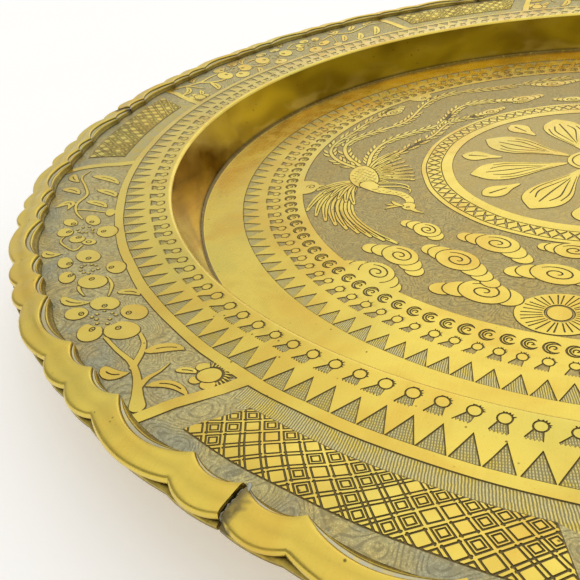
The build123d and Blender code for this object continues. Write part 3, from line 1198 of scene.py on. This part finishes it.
def from_bmesh(name, bm, materials, sharp):
    """An object from a closed bmesh in mm, its faces turned outwards."""
    bmesh.ops.recalc_face_normals(bm, faces=bm.faces)
    mesh = bpy.data.meshes.new(name)
    bm.to_mesh(mesh)
    bm.free()
    mesh.transform(Matrix.Scale(MM, 4))
    return object_of(mesh, materials, sharp)


def swept_faces(rows, size, capped=True):
    """Faces of a ring of size points carried through a number of rows."""
    faces = []
    for i in range(rows - 1):
        for k in range(size):
            n = (k + 1) % size
            faces.append((i * size + k, i * size + n, (i + 1) * size + n, (i + 1) * size + k))
    if capped:
        faces.append(tuple(range(size))[::-1])
        faces.append(tuple((rows - 1) * size + k for k in range(size)))
    return faces


def fade(x, low, high):
    """Smooth step from 0 to 1."""
    t = np.clip((x - low) / (high - low), 0, 1)
    return t * t * (3 - 2 * t)


def flatness(x, y):
    """Gentle unevenness of a hammered sheet, in mm. It dies out beside the bends."""
    r = np.hypot(x, y)
    wave = (
        np.sin(x / 19.0 + 1.2 * np.sin(y / 31.0))
        + np.sin(y / 23.0 + 1.4 * np.sin(x / 27.0) + 2.0)
        + 0.7 * np.sin((x + y) / 13.0 + 0.6) + 0.7 * np.sin((x - y) / 15.0 + 1.9)
    )
    flange = fade(r, FLANGE_INNER, FLANGE_INNER + 9) * (1 - fade(r, LIFT_END, FLANGE_OUTER - 2))
    floor = 1 - fade(r, FLOOR_BAND_OUTER - 14, FLOOR_BAND_OUTER)
    return UNEVENNESS * wave * np.where(r > MOUTH_RADIUS, flange, floor)


def flange_lift(radius):
    """Rise of the flange towards its edge, in mm: a straight slope between two bends."""
    tilt = atan(EDGE_LIFT / (LIFT_END - LIFT_START))
    reach = LIFT_BEND * tan(tilt / 2)
    bend = LIFT_BEND * sin(tilt)
    first = np.clip(radius - LIFT_START + reach, 0, bend)
    last = np.clip(LIFT_END + reach - radius, 0, bend)
    low = LIFT_BEND - np.sqrt(LIFT_BEND**2 - first**2)
    high = EDGE_LIFT - LIFT_BEND + np.sqrt(LIFT_BEND**2 - last**2)
    slope = (radius - LIFT_START) * tan(tilt)
    return np.where(first < bend, low, np.where(last < bend, high, slope))


def hand_drift(x, y, inner, outer):
    """Small sideways wander of the chased lines, in mm, none at the ring's two edges."""
    r = np.hypot(x, y)
    hold = fade(r, inner, inner + 5) * (1 - fade(r, outer - 5, outer)) * HAND_DRIFT
    along = np.sin(x / 7.3 + 1.7 * np.sin(y / 11.0))
    along += np.sin(y / 4.9 + 1.3 * np.sin(x / 8.1) + 1.0)
    across = np.sin(y / 6.7 + 1.5 * np.sin(x / 9.7) + 2.2)
    across += np.sin(x / 5.3 + 1.2 * np.sin(y / 7.9))
    return hold * along, hold * across


def turn_of(vertex):
    """Angle of a vertex around the axis, in radians."""
    return atan2(vertex.co.y, vertex.co.x)


def chased_plate(name, pattern, copies, base, hatched, hatch_material):
    """A closed ring plate with chased relief on top, from copies of a pattern side by side."""
    radius, angle, cut_down, faces, kind = relief(pattern)
    inner, outer = pattern.radius[0], pattern.radius[-1]
    on_flange = base > MOUTH_LEVEL
    hatch = kind == GROUND
    hatch &= hatched(radius[faces].mean(1), np.degrees(angle[faces].mean(1)) - pattern.start)
    slots = np.where(hatch, HATCH, kind).tolist()
    bm = bmesh.new()
    for copy in range(copies):
        turned = angle + radians(pattern.span) * copy
        x, y = radius * np.cos(turned), radius * np.sin(turned)
        dx, dy = hand_drift(x, y, inner, outer)
        z = base + flatness(x, y) - np.where(cut_down, CUT_DEPTH, 0)
        if on_flange:
            z = z + flange_lift(radius)
        made = [bm.verts.new(p) for p in np.column_stack((x + dx, y + dy, z)).tolist()]
        for tri, slot in zip(faces.tolist(), slots):
            bm.faces.new([made[k] for k in tri]).material_index = slot
    bmesh.ops.remove_doubles(bm, verts=bm.verts, dist=1e-3)
    close_below(bm, inner, outer, base, on_flange)
    return from_bmesh(name, bm, (surface, line, ground, hatch_material), 32.0)


def close_below(bm, inner, outer, base, on_flange):
    """Skirts at a plate's two edges, and a flat underside that bends with the flange."""
    open_edges = [e for e in bm.edges if len(e.link_faces) == 1]
    rims = {v for e in open_edges for v in e.verts}

    def under(x, y):
        lifted = float(flange_lift(hypot(x, y))) if on_flange else 0.0
        return bm.verts.new((x, y, base - PLATE + lifted))

    below = {v: under(v.co.x, v.co.y) for v in rims}
    for e in open_edges:
        a, b = e.verts
        bm.faces.new((a, b, below[b], below[a]))
    halfway = (inner + outer) / 2
    near = sorted((v for v in rims if v.co.xy.length <= halfway), key=turn_of)
    far = sorted((v for v in rims if v.co.xy.length > halfway), key=turn_of)
    rings = [[below[v] for v in near]]
    turns = np.radians(np.arange(0.1, 360, LIFT_RING_STEP))
    for r in LIFT_RINGS if on_flange else ():
        rings.append(sorted((under(r * cos(t), r * sin(t)) for t in turns), key=turn_of))
    rings.append([below[v] for v in far])
    for nearer, farther in zip(rings, rings[1:]):
        zip_rings(bm, farther, nearer)


def zip_rings(bm, outer, inner):
    """A band of triangles between two rings of vertices sorted by angle."""
    i = k = 0
    while i < len(outer) or k < len(inner):
        a, b = outer[i % len(outer)], inner[k % len(inner)]
        next_a, next_b = outer[(i + 1) % len(outer)], inner[(k + 1) % len(inner)]
        angle_a = turn_of(next_a) + 2 * pi * ((i + 1) // len(outer))
        angle_b = turn_of(next_b) + 2 * pi * ((k + 1) // len(inner))
        if k >= len(inner) or (i < len(outer) and angle_a <= angle_b):
            bm.faces.new((a, next_a, b))
            i += 1
        else:
            bm.faces.new((a, next_b, b))
            k += 1


def pan_pieces():
    """The sheet's body and the chased plates let into it."""
    def flange_hatched(radius, angle):
        beside_lattice = (radius < LATTICE_INNER) & (angle > LATTICE_START)
        return (radius < PANEL_INNER - 2) | beside_lattice

    def floor_hatched(radius, angle):
        return (radius > FLOOR_APEX - 1) & (radius < FLOOR_BASE)

    def never(radius, angle):
        return radius > FAR

    pieces = [
        chased_plate(f"pan_{name}", pattern(), copies, base, hatched, hatch)
        for name, pattern, copies, base, hatched, hatch in (
            ("flange_chasing", flange_pattern, SECTORS, FLANGE_TOP, flange_hatched, flange_hatch),
            ("floor_bands", floor_band_pattern, SECTORS, FLOOR_TOP, floor_hatched, floor_hatch),
            ("floor_frieze", frieze_pattern, 2, FLOOR_TOP, never, floor_hatch),
            ("floor_rosette", rosette_pattern, PETALS, FLOOR_TOP, never, floor_hatch),
        )
    ]
    for piece in [*pieces, pan_body()]:
        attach(piece, ROOT)
        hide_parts("pan")


def rounded(points, radii, steps):
    """A run of (radius, height) points with its inner corners rounded in a number of steps."""
    p = [Vector(q) for q in points]
    run = [tuple(p[0])]
    for a, b, c, radius in zip(p, p[1:], p[2:], radii):
        u, w = (a - b).normalized(), (c - b).normalized()
        half = u.angle(w) / 2
        centre = b + (u + w).normalized() * radius / sin(half)
        first = b + u * radius / tan(half) - centre
        second = b + w * radius / tan(half) - centre
        start = atan2(first.y, first.x)
        swing = (atan2(second.y, second.x) - start + pi) % (2 * pi) - pi
        for k in range(steps + 1):
            t = start + swing * k / steps
            run.append((centre.x + radius * cos(t), centre.y + radius * sin(t)))
    return run + [tuple(p[-1])]


def pan_body():
    """Underside, well wall and plain parts, turned as one closed sheet with seats for the plates."""
    slope = (MOUTH_RADIUS - FLOOR_RADIUS) / (FLANGE_TOP - FLOOR_TOP)
    shift = SHEET * sqrt(1 + slope * slope) - slope * SHEET
    under = rounded(
        [(HUB_RADIUS, FLOOR_UNDER), (FLOOR_RADIUS + shift, FLOOR_UNDER),
         (MOUTH_RADIUS + shift, FLANGE_UNDER), (LIFT_START, FLANGE_UNDER),
         (LIFT_END, BRIM_UNDER), (SHEET_EDGE, BRIM_UNDER)],
        (FLOOR_BEND + SHEET, MOUTH_BEND - SHEET, LIFT_BEND, LIFT_BEND), 7,
    )
    seat = rounded(
        [(SHEET_EDGE, BRIM_TOP - SEAT), (LIFT_END, BRIM_TOP - SEAT),
         (LIFT_START, FLANGE_TOP - SEAT), (FLANGE_INNER, FLANGE_TOP - SEAT)],
        (LIFT_BEND, LIFT_BEND), 7,
    )
    top = rounded(
        [(FLANGE_INNER, FLANGE_TOP), (MOUTH_RADIUS, FLANGE_TOP),
         (FLOOR_RADIUS, FLOOR_TOP), (FLOOR_BAND_OUTER, FLOOR_TOP)],
        (MOUTH_BEND, FLOOR_BEND), TOP_BEND_STEPS,
    )
    hub = [(FLOOR_BAND_OUTER, FLOOR_TOP - SEAT), (HUB_RADIUS, FLOOR_TOP - SEAT)]
    profile = [*under, *seat, *top, *hub]
    # The wall's darker material, tarnish and painted dark reflection, starts below the mouth's bend
    # and goes on through most of the foot's
    wall_from = len(under) + len(seat) + TOP_BEND_STEPS + 1
    wall_to = wall_from + TOP_BEND_STEPS - 1
    turn = np.radians(np.arange(BODY_STEPS) * 360 / BODY_STEPS)
    verts = [(r * cos(a), r * sin(a), z) for r, z in profile for a in turn]
    faces = swept_faces(len(profile), BODY_STEPS)
    slots = [int(wall_from <= n // BODY_STEPS < wall_to) for n in range(len(faces))]
    return make_object("pan_body", verts, faces, [surface, wall], slots)


# ---------------------------------------------------------------- the border
OUTER_CUSP, OUTER_LARGE, OUTER_SMALL = 279.2, 282.4, 281.7
INNER_CUSP, INNER_LARGE, INNER_SMALL = 267.7, 273.0, 270.6
OUTER_MEAN, INNER_MEAN = 281.0, 270.6
PERIODS, SMALL_SCALLOP, LARGE_SCALLOP = 5, 3.6, 7.2
SMALL_STEPS, LARGE_STEPS = 14, 26
JOINT_GAP = 0.9
LEAF_REACH, LEAF_FOLLOW = 8.0, 0.80


def scallop(angle, cusp, large, small):
    """Radius of a scalloped run at an angle in degrees measured from a joint."""
    place = angle % (2 * SMALL_SCALLOP + LARGE_SCALLOP)
    if place < SMALL_SCALLOP:
        half, crown, off = SMALL_SCALLOP / 2, small, place - SMALL_SCALLOP / 2
    elif place < SMALL_SCALLOP + LARGE_SCALLOP:
        half, crown, off = LARGE_SCALLOP / 2, large, place - SMALL_SCALLOP - LARGE_SCALLOP / 2
    else:
        half, crown, off = SMALL_SCALLOP / 2, small, place - 1.5 * SMALL_SCALLOP - LARGE_SCALLOP
    half, off = radians(half), radians(off)
    centre = (crown**2 - cusp**2) / (2 * (crown - cusp * cos(half)))
    radius = crown - centre
    return centre * cos(off) + sqrt(radius**2 - (centre * sin(off)) ** 2)


# Section of a folded border segment. Each point: the edge it is measured from, its
# distance from that edge's mean line towards the other edge, its height above
# BRIM_UNDER, how closely it follows the scallops, and how dark it is painted: grime,
# plus painted shade on the lower outer layer and painted dark reflection down the inner wall.
OUTER, INNER = 0, 1
SECTION = (
    (OUTER, LEAF_REACH, -0.70, LEAF_FOLLOW, 0.8),
    (OUTER, 7.8, -0.88, 0.80, 0.6), (OUTER, 4.0, -0.90, 0.80, 0.3),
    (OUTER, 1.5, -0.85, 0.65, 0.5), (OUTER, 0.5, -0.55, 0.40, 0.8), (OUTER, 0.05, 0.1, 0.28, 0.85),
    (OUTER, 0.05, 1.2, 0.28, 0.3), (OUTER, 0.30, 1.5, 0.45, 0.6), (OUTER, 0.80, 1.65, 0.80, 1.0),
    (OUTER, 0.80, 2.1, 0.98, 1.0), (OUTER, 0.12, 2.35, 1.0, 0.5), (OUTER, 0.02, 2.8, 1.0, 0.0),
    (OUTER, 0.10, 3.6, 1.0, 0.0), (OUTER, 0.32, 4.25, 0.98, 0.0), (OUTER, 0.75, 4.65, 0.95, 0.0),
    (OUTER, 1.4, 4.88, 0.86, 0.0), (OUTER, 2.3, 5.0, 0.70, 0.0), (OUTER, 3.2, 5.08, 0.52, 0.05),
    (OUTER, 4.2, 5.12, 0.40, 0.12), (INNER, 5.2, 5.2, 0.45, 0.05), (INNER, 4.4, 5.32, 0.58, 0.0),
    (INNER, 3.5, 5.40, 0.78, 0.0), (INNER, 2.75, 5.34, 0.95, 0.0), (INNER, 2.25, 5.1, 1.0, 0.0),
    (INNER, 2.03, 4.7, 1.0, 0.5), (INNER, 1.93, 4.3, 0.99, 1.0), (INNER, 1.82, 4.12, 0.97, 0.8),
    (INNER, 1.68, 4.08, 0.95, 0.1), (INNER, 1.25, 3.90, 0.84, 0.0), (INNER, 1.0, 3.74, 0.76, 1.0),
    (INNER, 0.88, 3.80, 0.73, 0.2), (INNER, 0.72, 3.66, 0.69, 0.0), (INNER, 0.54, 3.1, 0.64, 0.6),
    (INNER, 0.28, 2.3, 0.56, 0.75), (INNER, 0.0, 1.65, 0.47, 0.7), (INNER, -0.3, 1.35, 0.38, 0.9),
    (INNER, -0.4, 1.22, 0.35, 1.0), (INNER, 0.9, 1.22, 0.35, 1.0), (INNER, 1.9, 2.8, 0.60, 1.0),
    (INNER, 3.4, 4.1, 0.9, 1.0), (OUTER, 3.6, 3.9, 0.5, 1.0), (OUTER, 1.9, 3.7, 0.8, 1.0),
    (OUTER, 1.6, 2.3, 0.95, 1.0), (OUTER, 1.3, 0.2, 0.90, 1.0), (OUTER, 1.6, 0.0, 0.90, 1.0),
    (OUTER, LEAF_REACH, 0.0, LEAF_FOLLOW, 1.0),
)
# Depth of the valley in the top leaf, by point of the section. It is deepest towards
# VALLEY_AXIS and opposite to it. Then the points with tin on them.
VALLEY = {14: -0.15, 15: -0.45, 16: -0.80, 17: -1.0, 18: -0.90, 19: -0.55, 20: -0.15}
VALLEY_AXIS = 350.0
TINNED = {27: 1.0, 28: 0.9}
# Heights between which a point of the section comes to ride with the top leaf
LEAF_LOW, LEAF_HIGH = 1.6, 3.4
TOP_CLEARANCE = 0.08
LOWERED_START, START_RAMP = 0.75, 26.0
PROUD_END, END_RAMP = 0.18, 14.0


def border_sway(angle, place):
    """Unevenness of the hand-worked border, in mm."""
    return (
        sin(0.61 * angle + 0.9 * place) + 0.8 * sin(1.27 * angle + 1.7 + 1.3 * place)
        + 0.5 * sin(2.9 * angle + 0.4 - place)
    )


def joint_to_joint():
    """Angles of a border segment's rows, measured from its joint."""
    half_gap = degrees(JOINT_GAP / 2 / OUTER_MEAN)
    angles = [0.0]
    small, large = (SMALL_SCALLOP, SMALL_STEPS), (LARGE_SCALLOP, LARGE_STEPS)
    for span, steps in (small, large, small) * PERIODS:
        at = angles[-1]
        angles += [at + span * k / steps for k in range(1, steps + 1)]
    angles[0] += half_gap
    angles[-1] -= half_gap
    return angles


def border_segment(number):
    """A folded border segment between two joints, its section swept along the scallops."""
    start = JOINT_ANGLE + SECTOR * number
    verts, dirt_and_shade, stain = [], [], []
    angles = joint_to_joint()
    for angle in angles:
        turn = start + angle
        c, s = cos(radians(turn)), sin(radians(turn))
        out = scallop(angle, OUTER_CUSP, OUTER_LARGE, OUTER_SMALL) - OUTER_MEAN
        into = scallop(angle, INNER_CUSP, INNER_LARGE, INNER_SMALL) - INNER_MEAN
        from_start = radians(angle) * OUTER_MEAN
        from_end = radians(SECTOR - angle) * OUTER_MEAN
        drop = LOWERED_START * (1 - fade(from_start, 1.0, START_RAMP))
        drop -= PROUD_END * (1 - fade(from_end, 0.0, END_RAMP))
        hollow = 0.5 + 0.5 * cos(2 * radians(turn - VALLEY_AXIS))
        for k, (edge, offset, height, follow, dirty_and_shaded) in enumerate(SECTION):
            sway = border_sway(turn, 0.25 * k)
            if edge == OUTER:
                r = OUTER_MEAN - offset + follow * out + 0.05 * sway * (offset > 0.3)
            else:
                r = INNER_MEAN + offset + follow * into + 0.03 * sway
            height += VALLEY.get(k, 0.0) * hollow
            bounce = 0.07 * border_sway(turn + 3.1, 0.1 * k) - TOP_CLEARANCE - drop
            height += fade(height, LEAF_LOW, LEAF_HIGH) * bounce
            verts.append((r * c, r * s, BRIM_UNDER + height))
            # Darker and a little tin-grey within a few mm of the segment's start, which runs under its
            # neighbour's lap
            patch = 1 - fade(from_start + 0.8 * border_sway(40 * k, angle * 9), 2.0, 4.6)
            dirt_and_shade.append(max(dirty_and_shaded, 0.8 * patch))
            stain.append(max(0.2 * patch, TINNED.get(k, 0.0)))
    faces = swept_faces(len(angles), len(SECTION))
    piece = make_object(f"border_segment_{number + 1}", verts, faces, [border], sharp=38.0)
    for name, values in (("dirt_and_shade", dirt_and_shade), ("stain", stain)):
        attribute = piece.data.attributes.new(name, "FLOAT", "POINT")
        attribute.data.foreach_set("value", np.asarray(values, np.float32))
    turn_outwards(piece.data)
    return piece


def turn_outwards(mesh):
    """Faces of a closed mesh turned outwards."""
    bm = bmesh.new()
    bm.from_mesh(mesh)
    bmesh.ops.recalc_face_normals(bm, faces=bm.faces)
    bm.to_mesh(mesh)
    bm.free()


def border_pieces():
    for number in range(SECTORS):
        piece = border_segment(number)
        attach(piece, ROOT)
        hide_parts(f"rim_segment_{number + 1}")


# ---------------------------------------------------------------- solder
# Lumps in a joint's gap: the radius of each, half its length, its depth below RIM_TOP
JOINT_LUMPS = ((272.0, 1.6, 1.0), (274.2, 1.6, 1.15), (276.4, 1.5, 1.1), (278.2, 1.2, 1.5))
FLECK_RADIUS = 270.0
BEAD_STEPS, BEAD_SIDES = 260, 4
BEAD_WIDTH, BEAD_HEIGHT = 1.1, 0.62
# The bead is let this far into the leaf's edge and the sheet
BEAD_KEY = 0.1
SHEET_KEY = 0.01


def lump(bm, centre, turn, size, seed, rings=7, around=14):
    """A closed uneven blob: size gives its half lengths along the radius, across and up."""
    c, s = cos(radians(turn)), sin(radians(turn))
    rows = []
    for i in range(rings + 1):
        tilt = pi * i / rings
        row = []
        for k in range(1 if i in (0, rings) else around):
            spin = 2 * pi * k / around
            swell = 1 + 0.14 * sin(2.3 * spin + 3 * tilt + seed)
            swell += 0.10 * sin(5 * tilt - spin + 2 * seed)
            a = size[0] * cos(tilt) * (1 + 0.05 * sin(seed + 4 * spin))
            b = size[1] * sin(tilt) ** 0.7 * cos(spin) * swell
            h = size[2] * sin(tilt) ** 0.7 * sin(spin) * swell
            x, y, z = centre
            row.append(bm.verts.new((x + a * c - b * s, y + a * s + b * c, z + h)))
        rows.append(row)
    for upper, lower in zip(rows, rows[1:]):
        for k in range(around):
            n = (k + 1) % around
            above = [upper[k % len(upper)], upper[n % len(upper)]]
            beneath = [lower[n % len(lower)], lower[k % len(lower)]]
            bm.faces.new(list(dict.fromkeys(above + beneath)))


def joint_solder(number):
    """Solder run down into the gap of a lapped joint, with a fleck left at its inner end."""
    turn = JOINT_ANGLE + SECTOR * number
    c, s = cos(radians(turn)), sin(radians(turn))
    bm = bmesh.new()
    for k, (r, half, drop) in enumerate(JOINT_LUMPS):
        low, top = BRIM_TOP + 0.05, RIM_TOP - drop
        size = (half, 0.5, (top - low) / 2)
        lump(bm, (r * c, r * s, (top + low) / 2), turn, size, 1.7 * k + number)
    aside = turn + degrees(0.95 / OUTER_MEAN)
    x, y = FLECK_RADIUS * cos(radians(aside)), FLECK_RADIUS * sin(radians(aside))
    lump(bm, (x, y, RIM_TOP - 1.3), turn + 30, (1.3, 0.6, 0.4), 2.0 + number)
    return from_bmesh(f"joint_solder_{number + 1}", bm, (solder,), 60.0)


def leaf_bead(number):
    """Solder bead between the border's bottom leaf and the underside of the flange."""
    start = JOINT_ANGLE + SECTOR * number
    half_gap = degrees(JOINT_GAP / 2 / OUTER_MEAN)
    verts = []
    for angle in np.linspace(half_gap, SECTOR - half_gap, BEAD_STEPS):
        out = scallop(angle, OUTER_CUSP, OUTER_LARGE, OUTER_SMALL) - OUTER_MEAN
        leaf_edge = OUTER_MEAN - LEAF_REACH + LEAF_FOLLOW * out + BEAD_KEY
        width = BEAD_WIDTH * (1 + 0.22 * sin(3.1 * angle + number) + 0.16 * sin(7.7 * angle))
        depth = BEAD_HEIGHT * (1 + 0.16 * sin(4.3 * angle + 2 * number) + 0.12 * sin(11.3 * angle))
        bends = [pi / 2 * k / BEAD_SIDES for k in range(BEAD_SIDES + 1)]
        section = [(leaf_edge - (width + BEAD_KEY) * sin(t), -depth * cos(t)) for t in bends]
        c, s = cos(radians(start + angle)), sin(radians(start + angle))
        for r, z in [*section, (leaf_edge, 0.0)]:
            verts.append((r * c, r * s, BRIM_UNDER + z + SHEET_KEY))
    faces = swept_faces(BEAD_STEPS, BEAD_SIDES + 2)
    piece = make_object(f"leaf_bead_{number + 1}", verts, faces, [solder], sharp=60.0)
    turn_outwards(piece.data)
    return piece


def solder_pieces():
    for number in range(SECTORS):
        for piece, node in (
            (joint_solder(number), f"lap_solder_{number + 1}"),
            (leaf_bead(number), f"rim_solder_{number + 1}"),
        ):
            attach(piece, ROOT)
            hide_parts(node)


# ---------------------------------------------------------------- studio
FLOOR_HALF, FLOOR_DROP = 6000.0, 0.2
# Direction of the bright side, in degrees
WINDOW = 95.0
# Camera: its turn from the y axis, its downward pitch and its roll in degrees, its focal
# length in mm, and its distance out and its height above the flange in mouth radii
CAMERA_TURN, CAMERA_PITCH, CAMERA_ROLL = -28.94, 33.43, -9.187
FOCAL_LENGTH, SENSOR_WIDTH = 39.79241, 36.0
CAMERA_OUT, CAMERA_HEIGHT = 1.5901, 0.5736


def paper_floor():
    """A wide pale sheet under the tray."""
    s = Shader("paper", 0.0)
    tone = s.mix(s.noise(s.place(), 300, 2), (0.93, 0.925, 0.91), (0.90, 0.895, 0.88))
    s.finish(tone, 0.85)
    s.feed(s.principled.inputs["Emission Color"], (1, 0.995, 0.985, 1))
    s.feed(s.principled.inputs["Emission Strength"], 0.26)
    corners = ((-1, -1), (1, -1), (1, 1), (-1, 1))
    verts = [(FLOOR_HALF * x, FLOOR_HALF * y, -FLOOR_DROP) for x, y in corners]
    sheet = make_object("paper_floor", verts, [(0, 1, 2, 3)], [s.material])


def studio_light():
    """Soft white light: a bright window side beyond the tray, dimmer towards the camera.

    The camera itself sees plain white."""
    world = bpy.data.worlds.new("studio")
    bpy.context.scene.world = world
    world.use_nodes = True
    s = Nodes(world.node_tree)
    direction = s.node("ShaderNodeTexCoord").outputs["Generated"]
    x, y, z = s.parts(direction)
    toward_window = s.plus(s.times(x, cos(radians(WINDOW))), s.times(y, sin(radians(WINDOW))))
    toward = s.math("DIVIDE", toward_window, s.most(s.from_axis(direction), 0.001))
    window = s.ramp(toward, cos(radians(27)), cos(radians(6)))
    front = s.ramp(toward, 0.05, 0.70)
    high = s.ramp(z, sin(radians(32)), sin(radians(52)))
    low_level = s.plus(s.ramp(front, 0.0, 1.0, 0.36, 0.76), s.times(window, 0.42))
    high_level = s.plus(1.0, s.times(window, 0.10))
    low_part = s.times(low_level, s.math("SUBTRACT", 1.0, high))
    level = s.plus(low_part, s.times(high_level, high))
    seen = s.node("ShaderNodeLightPath").outputs["Is Camera Ray"]
    background = s.tree.nodes["Background"]
    s.feed(background.inputs["Color"], (1, 0.995, 0.98, 1))
    s.feed(background.inputs["Strength"], s.most(level, seen))


def camera():
    """At the photograph's viewing angle: over the tray's near left edge."""
    yaw, pitch, roll = (radians(a) for a in (CAMERA_TURN, CAMERA_PITCH, CAMERA_ROLL))
    look = Vector((sin(yaw) * cos(pitch), cos(yaw) * cos(pitch), -sin(pitch)))
    side = Vector((cos(yaw), -sin(yaw), 0))
    up = side.cross(look)
    right = cos(roll) * side + sin(roll) * up
    top = cos(roll) * up - sin(roll) * side
    lens = bpy.data.cameras.new("camera")
    lens.sensor_width = SENSOR_WIDTH
    lens.lens = FOCAL_LENGTH
    lens.clip_start = 0.01
    stand = bpy.data.objects.new("camera", lens)
    stand.matrix_world = Matrix((right, top, -look)).transposed().to_4x4()
    height = FLANGE_TOP + CAMERA_HEIGHT * MOUTH_RADIUS
    stand.location = (0, -CAMERA_OUT * MOUTH_RADIUS * MM, height * MM)
    bpy.context.scene.collection.objects.link(stand)
    bpy.context.scene.camera = stand


pan_pieces()
border_pieces()
solder_pieces()
paper_floor()
studio_light()
camera()
bpy.context.scene.view_settings.view_transform = "Standard"
